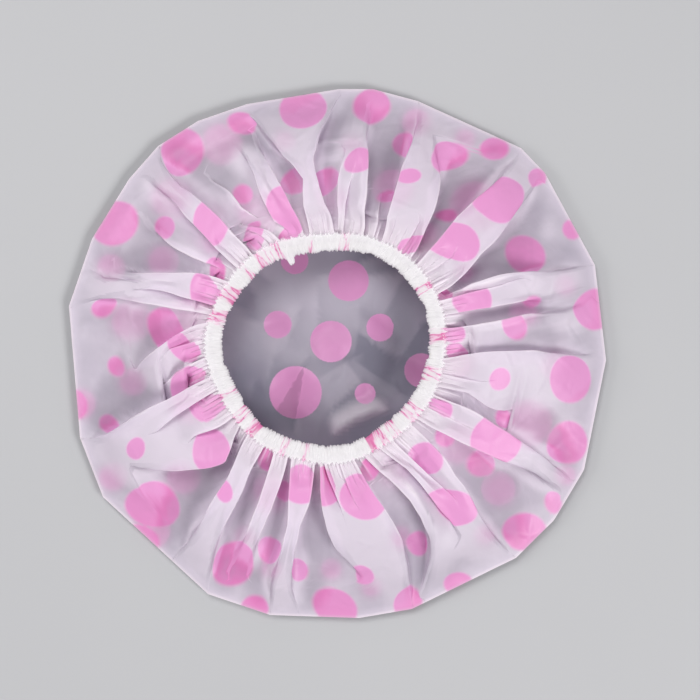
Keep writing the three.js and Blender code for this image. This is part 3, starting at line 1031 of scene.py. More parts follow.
@dataclass
class FilmCap:
    """The printed film: crown, folded rim and gathered skirt in one sheet.

    Attributes:
        skirt: The gathered part.
        crown: The part that lies on the table.
        cut_radius: Radius of the flat film up to the hem.
        skirt_rows: Rows of the mesh from the rim to the seam.
        first_rows: Shares of the skirt at which its first rows lie, close together at the rim.
        bend_rows: Shares of the rim's radius at which the rows inside the rim lie.
        bend_start: Share of the rim's radius at which the film leaves the table.
        bend_power: Shape of that bend.
        clearance: Least room between the skirt and the crown under it.
        rounding: Columns that a crease of the outer skirt is spread over.
        smoothing: How often the heights are evened out along the skirt.
        ring_step: Distance between the rings of the crown.
        least_columns: Columns that the innermost rings may be thinned to.
        fold_peak: Height of the crown's large fold.
        crown_shade: How grey the crown's single film is painted, as shade, 0 to 1.
        plies_range: Mark of plain skirt at the rim, what is added at the seam, and the swing at a fold,
            which whitens the plies and paints shade into the hollows.
    """

    skirt: GatheredSkirt = field(default_factory=GatheredSkirt)
    crown: Crown = field(default_factory=Crown)
    cut_radius: float = 226.5
    skirt_rows: int = 46
    first_rows: tuple[float, ...] = (0.0, 0.007, 0.02)
    bend_rows: tuple[float, ...] = (0.84, 0.88, 0.91, 0.94, 0.965, 0.985, 0.996)
    bend_start: float = 0.8
    bend_power: float = 1.3
    clearance: float = 1.0
    rounding: float = 3.6
    smoothing: int = 3
    ring_step: float = 2.2
    least_columns: int = 75
    fold_peak: float = 5.5
    crown_shade: float = 0.83
    plies_range: tuple[float, float, float] = (0.6, 0.34, 0.36)

    def __post_init__(self) -> None:
        """Takes over what the skirt fixes."""
        self.centre, self.columns = self.skirt.centre, self.skirt.columns

    def row_shares(self) -> Array:
        """Gives the shares of the skirt at which its rows lie, close together at the rim."""
        rest = np.linspace(self.first_rows[-1], 1.0, self.skirt_rows - len(self.first_rows) + 2)
        return np.concatenate([self.first_rows[:-1], rest])

    def bend(self, reach: Array) -> Array:
        """Gives how far the film has risen at a share of the rim's radius, 0 to 1."""
        return ease((reach - self.bend_start) / (1.0 - self.bend_start))

    def floor_under(self, points: Array) -> Array:
        """Gives the lowest height of the laid rows.

        Args:
            points: Rows by columns of positions.

        Returns:
            0 for the rows at the rim, and for the others the crown's height under them and a little room.
        """
        reach = np.hypot(points[..., 0], points[..., 1]) / self.skirt.rim.radius
        floor = self.skirt.rim_height * self.bend(reach) + self.clearance
        floor[: len(self.bend_rows) + len(self.first_rows)] = 0.0
        return floor

    def laid_rows(self) -> tuple[Array, Array, Array]:
        """Lays the rows from the crown's bend to the hem.

        Returns:
            Rows by columns of positions, the same corners on the flat film, and their plies.
        """
        skirt = [self.skirt.row(float(share)) for share in self.row_shares()]
        rim = skirt[0].points[:, :2] - self.centre
        rows, cuts = [], []
        for part in self.bend_rows:
            lift = self.skirt.rim_height * float(self.bend(np.array(part))) ** self.bend_power
            rows.append(np.column_stack([rim * part + self.centre, np.full(self.columns, lift)]))
            cuts.append(np.column_stack([rim * part, np.zeros(self.columns)]))
        points = np.array(rows + [row.points for row in skirt])
        flat = np.array(cuts + [row.flat for row in skirt])
        plies = np.array([np.zeros(self.columns)] * len(rows) + [row.plies for row in skirt])
        rim_row = len(rows)
        for row, share in enumerate(self.row_shares(), rim_row):
            width = self.rounding * (step(share / 0.1) * (1.0 - step((share - 0.24) / 0.34)))
            points[row], flat[row] = self.rounded(points[row], width), self.rounded(flat[row], width)
        for _ in range(self.smoothing):
            rise = points[rim_row:, :, 2].copy()
            points[rim_row + 1:-1, :, 2] += 0.25 * (rise[:-2] + rise[2:] - 2.0 * rise[1:-1])
        points[..., 2] = np.maximum(points[..., 2], self.floor_under(points))
        return points, flat, plies

    @staticmethod
    def rounded(row: Array, width: float) -> Array:
        """Rounds the creases of a closed row.

        Args:
            row: Positions along the row.
            width: How many columns a crease is spread over.

        Returns:
            The rounded row.
        """
        waves = np.fft.rfft(row, axis=0)
        pitch = np.arange(len(waves)) / len(row)
        return np.fft.irfft(waves * np.exp(-2.0 * (math.pi * width * pitch) ** 2)[:, None], len(row), axis=0)

    def crown_rings(self, edge: Array) -> list[tuple[Array, Array]]:
        """Lays the rings of the crown inside the laid rows.

        Args:
            edge: Positions of the innermost laid row.

        Returns:
            Positions and flat places of each ring, from the outside in.
        """
        outline = edge[:, :2] - self.centre
        reach = float(np.linalg.norm(outline, axis=1).mean())
        number = int(reach / self.ring_step)
        rings, count = [], self.columns
        for at in range(1, number):
            part = 1.0 - at / number
            if count > self.least_columns and 2 * math.pi * reach * part / count < 0.6 * self.ring_step:
                count //= 2
            every = self.columns // count
            plane = outline[::every] * part + self.centre
            fade = step((1.0 - part) / 0.12)
            lift = (self.crown.height(plane) + self.fold_peak * self.crown.fold(plane)) * fade
            lift = lift + edge[::every, 2] * (1 - fade)
            rings.append((np.column_stack([plane, lift]),
                          np.column_stack([plane - self.centre, np.zeros(count)])))
        return rings

    def build(self) -> Piece:
        """Builds the film sheet with its marks for the print, the gathers, the painted highlights on creases
        and rim, and the painted shade of the crown.

        Returns:
            The film object.
        """
        laid, cut, layers = self.laid_rows()
        rings = self.crown_rings(laid[0])
        middle = self.crown.height(self.centre[None, :])
        positions, flats, faces = [np.array([[*self.centre, middle[0]]])], [np.zeros((1, 3))], []
        start, inner = 1, None
        for plane, flat in rings[::-1] + list(zip(laid, cut)):
            ring = np.arange(start, start + len(plane))
            if inner is None:
                faces += [(0, ring[(at + 1) % len(ring)], ring[at]) for at in range(len(ring))]
            else:
                faces += Sheet.weave(ring, inner)
            positions.append(plane)
            flats.append(flat)
            start, inner = start + len(plane), ring
        self.points, self.flat, self.faces = np.concatenate(positions), np.concatenate(flats), faces
        piece = Sheet.object_of("film_sheet", self.points, faces)
        skirt = len(self.points) - laid.shape[0] * laid.shape[1]
        self.sharpen_rim(piece, skirt + len(self.bend_rows) * self.columns)
        Sheet.mark(piece, "flat", self.flat * MM)
        for name, (crown_part, laid_part) in self.marks(self.points[:skirt, :2], laid, layers).items():
            Sheet.mark(piece, name, np.concatenate([crown_part, laid_part]))
        return piece

    def marks(self, crown: Array, laid: Array, layers: Array) -> dict[str, tuple]:
        """Works out what the film's finish reads at each corner.

        Args:
            crown: Places of the crown's corners in the plane.
            laid: Rows by columns of positions, from the crown's bend to the hem.
            layers: Plies of the laid rows.

        Returns:
            For each mark, its values on the crown and on the laid rows.
        """
        share = np.concatenate([np.array(self.bend_rows) - 1.0, self.row_shares()])
        none = np.zeros(len(crown))
        # Painted light and shade of the crown: the lit slope of its large fold is painted paler as a
        # highlight, and the rest is painted grey as shade, darker in the painted shadow beside the fold and
        # in the painted patches.
        lit = ease(1.5 * self.crown.fold(crown)) * (1.0 - self.crown.shadow(crown))
        grey = self.crown_shade + self.crown.tone(crown) + 0.17 * self.crown.shadow(crown) - 0.75 * lit
        at_rim, at_seam, at_fold = self.plies_range
        plain = at_rim + at_seam * ease((share - 0.4) / 0.4)
        # The single mark carries the crown's painted shade; crease and rim carry painted highlights on the
        # crests, the crown's lit slope and the rim; plies also paints shade into the hollows.
        return {"single": (np.clip(grey, 0.0, 1.0), self.along_rows(self.crown_shade * ease(-share / 0.03))),
                "crease": (0.5 * lit, self.crease_mask(laid).ravel()),
                "rim": (none, self.along_rows(np.exp(-(share / 0.011) ** 2))),
                "gather": (none, self.along_rows(ease((share - 0.72) / 0.28))),
                "plies": (none, self.along_rows(plain) + at_fold * layers.ravel())}

    def along_rows(self, values: Array) -> Array:
        """Gives every corner of the laid rows the value of its row."""
        return np.repeat(values, self.columns)

    def sharpen_rim(self, piece: Piece, first: int) -> None:
        """Marks the edges along the rim as sharp, because the film is folded flat there.

        Args:
            piece: The film object.
            first: Number of the rim's first corner.
        """
        edges = np.empty(2 * len(piece.data.edges), dtype=np.int32)
        piece.data.edges.foreach_get("vertices", edges)
        on_rim = (edges >= first) & (edges < first + self.columns)
        piece.data.edges.foreach_set("use_edge_sharp", on_rim.reshape(-1, 2).all(1))
        piece.data.update()

    @staticmethod
    def crease_mask(rows: Array) -> Array:
        """Finds where the film is bent sharply along its rows, where highlights are painted.

        Args:
            rows: Rows by columns of positions.

        Returns:
            0 on smooth film to 1 on a sharp crease.
        """
        ahead = np.roll(rows, -1, 1) - rows
        ahead /= np.maximum(np.linalg.norm(ahead, axis=-1, keepdims=True), 1e-9)
        turn = np.degrees(np.arccos(np.clip((ahead * np.roll(ahead, 1, 1)).sum(-1), -1.0, 1.0)))
        mask = ease((turn - 12.0) / 42.0)
        mask = np.maximum(mask, 0.45 * np.maximum(np.roll(mask, 1, 1), np.roll(mask, -1, 1)))
        total = np.cumsum(np.concatenate([np.zeros((9, rows.shape[1])), mask]), axis=0)
        mask = mask * (0.15 + 0.85 * ease((total[8:-1] - total[:-9]) / 4.0))
        return 0.5 * mask + 0.25 * (np.roll(mask, 1, 0) + np.roll(mask, -1, 0))

    def dress(self, piece: Piece, finish: "FilmFinish", hem: Piece) -> None:
        """Gives the film its finish and its place in the model.

        Args:
            piece: The film object.
            finish: Finish of the printed film.
            hem: The turned hem that goes with the sheet; not used.
        """
        piece.data.materials.append(finish.material())
        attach(piece, "root")
        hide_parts("cap_film")


@dataclass
class DottedPrint:
    """The dots printed on the film."""

    dots: Sequence[Dot] = DOTS
    beneath: Sequence[Dot] = BENEATH
    hidden_sizes: tuple[float, ...] = (5.4, 7.3, 10.7, 13.4)
    tries: int = 900
    spread: float = 140.0
    mouth_room: float = 56.0
    gap: float = 9.0
    seed: int = 31

    def shown(self, cap: FilmCap, view: "PictureFrame") -> list[Array]:
        """Finds the places of the shown dots on the flat film.

        Args:
            cap: The film that they are printed on.
            view: The frame that the dots' places are read in.

        Returns:
            One place for each dot.
        """
        tree = BVHTree.FromPolygons([Vector(point) for point in cap.points], cap.faces)
        places = []
        for dot in self.dots:
            spot, _, number, _ = tree.ray_cast(*view.ray(dot.across, dot.down))
            if number is None:
                spot, _, number, _ = tree.find_nearest(view.on_table(dot.across, dot.down))
            corner = np.array(cap.faces[number])
            close = 1.0 / np.maximum(np.linalg.norm(cap.points[corner] - np.array(spot), axis=1), 1e-4)
            places.append((cap.flat[corner] * close[:, None]).sum(0)[:2] / close.sum())
        return places

    def apply(self, piece: Piece, cap: FilmCap, view: "PictureFrame") -> None:
        """Marks how far every corner of the film lies from the nearest dot, and what glows through.

        Args:
            piece: The film object.
            cap: The film that was built.
            view: The frame that the dots' places are read in.
        """
        centres = self.shown(cap, view)
        centres += [np.array(view.on_table(dot.across, dot.down))[:2] - cap.centre for dot in self.beneath]
        sizes = [dot.radius for dot in (*self.dots, *self.beneath)]
        chance = np.random.default_rng(self.seed)
        for _ in range(self.tries):
            trial = heading(chance.uniform(0, TURN)) * self.spread * math.sqrt(chance.uniform())
            size = float(chance.choice(self.hidden_sizes))
            if np.linalg.norm(trial + cap.centre - np.array(cap.crown.mouth)) < self.mouth_room + size:
                continue
            room = np.linalg.norm(np.array(centres) - trial, axis=1) - np.array(sizes) - size
            if room.min() > self.gap:
                centres.append(trial)
                sizes.append(size)
        reach, glow = np.full(len(cap.flat), 1e3), np.zeros(len(cap.flat))
        for centre, size in zip(centres, sizes):
            reach = np.minimum(reach, np.linalg.norm(cap.flat[:, :2] - centre, axis=1) - size)
        for centre, size in list(zip(centres, sizes))[len(self.dots):]:
            away = np.linalg.norm(cap.points[:, :2] - cap.centre - centre, axis=1) - size
            glow = np.maximum(glow, ease((4.0 - away) / 9.0))
        Sheet.mark(piece, "dot_reach", reach)
        Sheet.mark(piece, "beneath", glow)


@dataclass
class TurnedHem:
    """The skirt's edge, turned in round the elastic and gathered by it."""

    line: MouthLine = MouthLine()
    height: float = 30.0
    section: tuple[tuple[float, float], ...] = (
        (1.5, 1.0), (1.0, 1.05), (0.5, 1.05), (0.0, 1.1), (-0.7, 1.15), (-1.6, 1.2), (-2.5, 1.3),
        (-3.6, 1.3), (-4.7, 1.15), (-5.6, 0.85), (-6.4, 0.45), (-6.8, 0.0), (-6.4, -0.7), (-5.4, -1.2),
        (-4.0, -1.4), (-2.2, -1.3), (-1.2, -0.95), (-0.4, -0.5), (0.9, -0.35))
    inside: float = 6.8
    ruffle: float = 0.32
    columns: int = 2400
    gather_half: float = 0.55
    tab_angle: float = 112.0
    tab_half: float = 2.4
    tab_reach: float = 4.0
    flat_radius: float = 232.0
    row_step: float = 1.1
    print_marks: tuple[tuple[float, float], ...] = (
        (80.0, 2.2), (98.0, 1.2), (124.0, 5.0), (136.0, 1.5), (151.0, 4.2), (163.0, 2.0), (205.0, 2.0),
        (228.0, 3.0), (247.0, 2.2), (259.0, 1.6), (302.0, 2.4), (309.0, 2.4), (323.0, 4.5), (346.0, 3.6),
        (6.0, 3.6), (31.0, 2.4), (117.0, 2.6), (166.0, 2.4), (219.0, 3.0), (296.0, 2.4))
    seed: int = 7

    def crumple(self, degrees: Array, row: float, fine: float) -> Array:
        """Gives the ridges of the gathered film.

        Args:
            degrees: Angles about the mouth.
            row: Share of the way round the hem's section.
            fine: Share of the finest ridges.

        Returns:
            Heights from about -0.1 to 1.
        """
        chance = np.random.default_rng(self.seed)
        height, drift = np.zeros(len(degrees)), np.zeros(len(degrees))
        for waves in (5, 11, 17, 26, 41):
            drift += np.sin(np.radians(degrees * waves) + chance.uniform(0, 2 * math.pi)) / 2.2
        beyond = step((row - 0.22) / 0.08)
        bands = ((18, 50, 6.0, 0.8), (50, 110, 14.0, 0.8),
                 (110, 200, 26.0, 0.8 * fine), (200, 300, 40.0, 0.5 * fine))
        for low, high, swing, size in bands:
            for _ in range(4):
                waves = round(chance.uniform(low, high))
                lag = chance.uniform(-swing, swing) * (row + 0.15 * drift) + chance.uniform(0, 2 * math.pi)
                lag += beyond * chance.uniform(-2.5, 2.5)
                height += size * (1.0 + 0.7 * drift) * np.sin(np.radians(degrees * waves) + lag)
        return 1.1 * np.abs(np.tanh(0.6 * height)) - 0.1

    def row(self, degrees: Array, at: int, pull: Array) -> tuple[Array, Array]:
        """Lays one row of the hem.

        Args:
            degrees: Angles about the mouth.
            at: Number of the row in the section.
            pull: How strongly the skirt's folds draw the hem in at those angles.

        Returns:
            Positions, and the heights of the ridges there.
        """
        aside, lift = self.section[at]
        run = at / (len(self.section) - 1)
        fold, scallop = self.crumple(degrees, run, 0.35), self.crumple(degrees, run, 1.3)
        pinch = 0.45 + 0.55 * step((0.4 - aside) / 2.0)
        swell = self.ruffle * pinch * (fold - 0.35 - 0.5 * pull)
        out = np.array([aside + 2.7, lift * 2.4])
        out /= np.linalg.norm(out)
        tip = math.exp(-((aside + self.inside) / 1.6) ** 2)
        tab = self.tab_reach * math.exp(-((aside + self.inside) / 1.4) ** 2)
        tab = tab * np.exp(-((degrees - self.tab_angle) / self.tab_half) ** 4)
        flare = max(0.0, (aside + 0.2) / 2.0) * (scallop - 0.5 + 1.6 * pull)
        reach = aside + flare + out[0] * swell * 0.7 - tip * 0.9 * scallop - tab * (0.8 + 0.3 * fold)
        rise = self.height + lift + out[1] * swell - np.sign(lift) * 0.4 * np.clip(tab, 0.0, 1.0)
        follow = 0.85 + 0.15 * min(max(-aside / self.inside, 0.0), 1.0)
        return np.column_stack([self.line.ring(degrees, reach, follow), rise]), fold

    def build(self, gathers: Array) -> Piece:
        """Builds the gathered hem.

        Args:
            gathers: Angles at which the skirt's folds run into the hem.

        Returns:
            The hem object.
        """
        degrees = np.arange(self.columns) / self.columns * TURN
        apart = np.abs(wrapped(degrees[:, None] - gathers[None, :], TURN)).min(1)
        pull = np.exp(-(apart / self.gather_half) ** 2)
        count = len(self.section)
        rows = [self.row(degrees, at, pull) for at in range(count)]
        faces: list[tuple[int, ...]] = []
        for at in range(count - 1):
            outer = np.arange(at * self.columns, (at + 1) * self.columns)
            faces += Sheet.weave(outer + self.columns, outer)
        piece = Sheet.object_of("hem_ruffle", np.concatenate([points for points, _ in rows]), faces)
        run = np.linspace(0.0, 1.0, count)
        edge = np.maximum(1.0 - run / run[2], 0.0) + np.maximum(1.0 - (1.0 - run) / (1.0 - run[-2]), 0.0)
        around = np.tile(np.radians(degrees) * self.flat_radius, count)
        across = np.repeat(np.arange(count) * self.row_step, self.columns)
        Sheet.mark(piece, "ridge", np.concatenate([ridges for _, ridges in rows]))
        Sheet.mark(piece, "edge", np.repeat(edge, self.columns))
        Sheet.mark(piece, "flat", np.column_stack([around, across, np.zeros(len(around))]) * MM)
        Sheet.mark(piece, "dot_reach", self.print_reach(degrees, run).ravel())
        return piece

    def print_reach(self, degrees: Array, run: Array) -> Array:
        """Gives how far each corner lies from the nearest dot that was gathered into the hem.

        Args:
            degrees: Angles about the mouth.
            run: Shares of the way round the section.

        Returns:
            Rows by columns of angles, below 0 on a dot, with a ragged edge.
        """
        reach = np.full(len(degrees), 1e3)
        for angle, half in self.print_marks:
            reach = np.minimum(reach, np.abs(wrapped(degrees - angle, TURN)) - half)
        ragged = reach[None, :] + 0.9 * np.sin(run * 7.0)[:, None]
        return ragged + 0.5 * np.sin(np.radians(degrees * 143.0))[None, :]

    def dress(self, piece: Piece, finish: "HemFinish") -> None:
        """Gives the hem its finish and its place in the model.

        Args:
            piece: The hem object.
            finish: Finish of the gathered film.
        """
        piece.data.materials.append(finish.material())
        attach(piece, "root")


@dataclass
class ElasticStrip:
    """Flat braided elastic that lies in the hem's tunnel, its ends lapped."""

    line: MouthLine = MouthLine()
    height: float = 30.0
    inside: float = 5.9
    width: float = 3.6
    thickness: float = 0.6
    lap: float = 14.0
    ribs: int = 6
    groove_depth: float = 0.11
    lap_gap: float = 0.1
    steps: int = 320

    def build(self) -> Piece:
        """Builds the ribbed strip with its lap.

        Returns:
            The elastic object.
        """
        middle = self.width / 2 - self.inside
        extra = math.degrees(self.lap / (self.line.seam + middle))
        turn = np.linspace(0.0, TURN + extra, self.steps)
        climb = ease((turn - TURN + 2.5 * extra) / (2.5 * extra))
        across = np.linspace(-0.5, 0.5, 4 * self.ribs + 1)
        ripple = (1.0 + np.cos(across * self.ribs * 2 * math.pi)) * (np.abs(across) < 0.49)
        half = 0.5 - self.groove_depth * ripple
        loop = list(zip(across, half)) + list(zip(across[::-1], -half[::-1]))
        points = []
        for angle, up in zip(turn, climb):
            for place, level in loop:
                spot = self.line.ring(np.array(angle), middle + place * self.width)
                lift = (up - 0.5) * (self.thickness + self.lap_gap)
                points.append([*spot, self.height + level * self.thickness + lift])
        size = len(loop)
        faces: list[tuple[int, ...]] = []
        for row in range(self.steps - 1):
            for side in range(size):
                first, second = row * size + side, row * size + (side + 1) % size
                faces.append((first, second, second + size, first + size))
        faces.append(tuple(range(size - 1, -1, -1)))
        faces.append(tuple((self.steps - 1) * size + side for side in range(size)))
        return Sheet.object_of("elastic_strip", np.array(points), faces)

    def dress(self, piece: Piece, finish: "ElasticFinish") -> None:
        """Gives the strip its finish and its place in the model.

        Args:
            piece: The elastic object.
            finish: Finish of the braided elastic.
        """
        piece.data.materials.append(finish.material())
        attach(piece, "root")
        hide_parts("elastic_band")


@dataclass
class SeamThread:
    """One thread of the zigzag seam that closes the hem's tunnel."""

    name: str
    node: str
    side: SeamSide
    line: MouthLine = MouthLine()
    height: float = 30.0
    pitch: float = 3.4
    zigzag: float = 1.2
    thread: float = 0.34
    stand: float = 0.95
    twist: float = 3.0
    stitch: tuple[tuple[float, float], ...] = ((0.0, 0.34), (0.14, 0.06), (0.5, 0.0), (0.86, 0.06))
    sides: int = 6

    def path(self) -> Array:
        """Gives the closed path of the thread round the mouth.

        Returns:
            Positions in millimetres.
        """
        stitches = 2 * round(2 * math.pi * self.line.seam / self.pitch)
        points = []
        for number in range(stitches):
            swing = self.zigzag / 2 * (1 if number % 2 else -1)
            for part, fall in self.stitch:
                angle = (number + part) / stitches * TURN
                spot = self.line.ring(np.array(angle), swing * (1.0 - 2.0 * part))
                points.append([*spot, self.height + self.side * (self.stand - fall)])
        return np.array(points)

    def build(self) -> Piece:
        """Builds the thread as a closed tube.

        Returns:
            The thread object.
        """
        path = self.path()
        ahead = np.roll(path, -1, 0) - np.roll(path, 1, 0)
        ahead /= np.linalg.norm(ahead, axis=1, keepdims=True)
        side = np.cross(ahead, [0.0, 0.0, 1.0])
        side /= np.linalg.norm(side, axis=1, keepdims=True)
        up = np.cross(side, ahead)
        rings = []
        for corner in range(self.sides):
            turn = 2 * math.pi * corner / self.sides
            rings.append(path + self.thread / 2 * (math.cos(turn) * side + math.sin(turn) * up))
        points = np.stack(rings, 1).reshape(-1, 3)
        count = len(path)
        faces = []
        for row in range(count):
            here, there = row * self.sides, (row + 1) % count * self.sides
            for corner in range(self.sides):
                after = (corner + 1) % self.sides
                faces.append((here + corner, here + after, there + after, there + corner))
        piece = Sheet.object_of(self.name, points, faces)
        along = np.repeat(running_length(path), self.sides) * self.twist
        around = np.tile(np.arange(self.sides) * 2 * math.pi / self.sides, count)
        Sheet.mark(piece, "twist", along + around)
        return piece

    def dress(self, piece: Piece, finish: "ThreadFinish") -> None:
        """Gives the thread its finish and its place in the model.

        Args:
            piece: The thread object.
            finish: Finish of the sewing thread.
        """
        piece.data.materials.append(finish.material())
        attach(piece, "root")
        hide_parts(self.node)


class Graph:
    """A node tree being wired."""

    def __init__(self, tree: bpy.types.NodeTree) -> None:
        """Keeps the tree to add nodes to."""
        self.tree = tree
        self.read: dict[str, bpy.types.Node] = {}

    def node(self, kind: str, values: Optional[dict] = None, **settings: object) -> bpy.types.Node:
        """Adds a node.

        Args:
            kind: Node type.
            values: Input name or number to a constant or to a socket that feeds it.
            settings: Properties of the node.

        Returns:
            The new node.
        """
        made = self.tree.nodes.new(kind)
        for name, value in settings.items():
            setattr(made, name, value)
        for name, value in (values or {}).items():
            if isinstance(value, Socket):
                self.tree.links.new(value, made.inputs[name])
            else:
                made.inputs[name].default_value = value
        return made

    def maths(self, kind: str, first: object, second: object, clamp: bool = False) -> Socket:
        """Adds a maths node and gives its output.

        Args:
            kind: Operation.
            first: First number or socket.
            second: Second number or socket.
            clamp: Whether the result is kept in 0..1.

        Returns:
            The output socket.
        """
        return self.node("ShaderNodeMath", {0: first, 1: second}, operation=kind, use_clamp=clamp).outputs[0]

    def times(self, first: object, second: object) -> Socket:
        """Gives the product of two numbers or sockets."""
        return self.maths("MULTIPLY", first, second)

    def blend(self, share: object, first: object, second: object, kind: str = "MIX") -> Socket:
        """Adds a colour mix and gives its output.

        Args:
            share: Part of the second colour.
            first: First colour or socket.
            second: Second colour or socket.
            kind: Way of mixing.

        Returns:
            The output socket.
        """
        first, second = ((*value, 1.0) if isinstance(value, tuple) else value for value in (first, second))
        made = self.node("ShaderNodeMix", {0: share, 6: first, 7: second}, data_type="RGBA", blend_type=kind)
        return made.outputs[2]

    def darken(self, colour: object, shade: Socket) -> Socket:
        """Gives a colour multiplied by a shade."""
        grey = self.node("ShaderNodeCombineColor", {0: shade, 1: shade, 2: shade}).outputs[0]
        return self.blend(1.0, colour, grey, "MULTIPLY")

    def fit(self, value: object, low: float, high: float, to_low: float,
            to_high: float) -> Socket:
        """Adds a smooth map from one range to another.

        Args:
            value: Number or socket.
            low: Start of the range that is read.
            high: End of the range that is read.
            to_low: Result at the start.
            to_high: Result at the end.

        Returns:
            The output socket.
        """
        made = self.node("ShaderNodeMapRange", {0: value, 1: low, 2: high, 3: to_low, 4: to_high},
                         interpolation_type="SMOOTHSTEP")
        return made.outputs[0]

    def mark(self, name: str, output: str = "Fac") -> Socket:
        """Gives the socket that reads one of the piece's own marks."""
        if name not in self.read:
            self.read[name] = self.node("ShaderNodeAttribute", attribute_name=name)
        return self.read[name].outputs[output]

    def film(self, colour: object, rough: object, height: object, depth: float,
             through: float) -> Socket:
        """Adds the shaders of a thin film that part of the light glows through.

        Args:
            colour: Colour of the film.
            rough: Roughness of the film.
            height: Heights of its fine relief.
            depth: Depth of that relief in metres.
            through: Share of the light that glows through.

        Returns:
            The shader socket.
        """
        relief = {"Strength": 0.5, "Distance": depth, "Height": height}
        bump = self.node("ShaderNodeBump", relief).outputs[0]
        body = self.node("ShaderNodeBsdfPrincipled", {"Base Color": colour, "Roughness": rough, "IOR": 1.46,
                                                      "Normal": bump})
        glow = self.node("ShaderNodeBsdfTranslucent", {"Color": colour, "Normal": bump})
        parts = {0: through, 1: body.outputs[0], 2: glow.outputs[0]}
        return self.node("ShaderNodeMixShader", parts).outputs[0]

    def opened(self, film: Socket, cover: object, clear: Colour) -> Socket:
        """Lets a share of a film stay clear.

        Args:
            film: Shader of the film.
            cover: Share of the film that isn't clear.
            clear: Tint of the clear share.

        Returns:
            The shader socket.
        """
        window = self.node("ShaderNodeBsdfTransparent", {"Color": (*clear, 1.0)}).outputs[0]
        return self.node("ShaderNodeMixShader", {0: cover, 1: window, 2: film}).outputs[0]


class FilmTexture:
    """Shared surface of the frosted film: soft clouding, fine grain and handling creases."""

    GROUP = "frosted_film"

    @classmethod
    def group(cls) -> bpy.types.NodeTree:
        """Builds the node group once.

        Returns:
            The group, with outputs Cloud, Grain and Height.
        """
        if cls.GROUP in bpy.data.node_groups:
            return bpy.data.node_groups[cls.GROUP]
        tree = bpy.data.node_groups.new(cls.GROUP, "ShaderNodeTree")
        tree.interface.new_socket("Place", in_out="INPUT", socket_type="NodeSocketVector")
        for name, value in (("Cloud Scale", 35.0), ("Grain Scale", 1400.0), ("Crinkle Scale", 70.0)):
            socket = tree.interface.new_socket(name, in_out="INPUT", socket_type="NodeSocketFloat")
            socket.default_value = value
        for name in ("Cloud", "Grain", "Height"):
            tree.interface.new_socket(name, in_out="OUTPUT", socket_type="NodeSocketFloat")
        graph = Graph(tree)
        source = graph.node("NodeGroupInput")
        place, crinkles = source.outputs["Place"], source.outputs["Crinkle Scale"]
        cloud, grain, broad = (
            graph.node("ShaderNodeTexNoise", {"Vector": place, "Scale": source.outputs[scale],
                                              "Detail": detail, "Roughness": rough}).outputs[0]
            for scale, detail, rough in (("Cloud Scale", 3.0, 0.55), ("Grain Scale", 2.0, 0.6),
                                         ("Crinkle Scale", 2.0, 0.5)))
        cells = graph.node("ShaderNodeTexVoronoi", {"Vector": place, "Scale": crinkles, "Randomness": 1.0},
                           feature="DISTANCE_TO_EDGE")
        line = graph.fit(cells.outputs["Distance"], 0.0, 0.16, 0.5, 0.0)
        lines = graph.times(line, graph.fit(cloud, 0.42, 0.66, 0.0, 1.0))
        height = graph.maths("ADD", graph.maths("ADD", lines, broad), graph.times(grain, 0.05))
        graph.node("NodeGroupOutput", {"Cloud": cloud, "Grain": grain, "Height": height})
        return tree

    @classmethod
    def place(cls, graph: Graph, crinkle: float) -> bpy.types.Node:
        """Places the group in a material.

        Args:
            graph: The material's graph.
            crinkle: Crinkles per metre of film.

        Returns:
            The group node.
        """
        values = {"Place": graph.mark("flat", "Vector"), "Crinkle Scale": crinkle}
        return graph.node("ShaderNodeGroup", values, node_tree=cls.group())


def blank_material(name: str) -> tuple[bpy.types.Material, Graph, bpy.types.Node]:
    """Makes an empty node material.

    Args:
        name: Name of the finish.

    Returns:
        The material, its graph and its output node.
    """
    material = bpy.data.materials.new(name)
    material.use_nodes = True
    material.node_tree.nodes.clear()
    graph = Graph(material.node_tree)
    return material, graph, graph.node("ShaderNodeOutputMaterial")


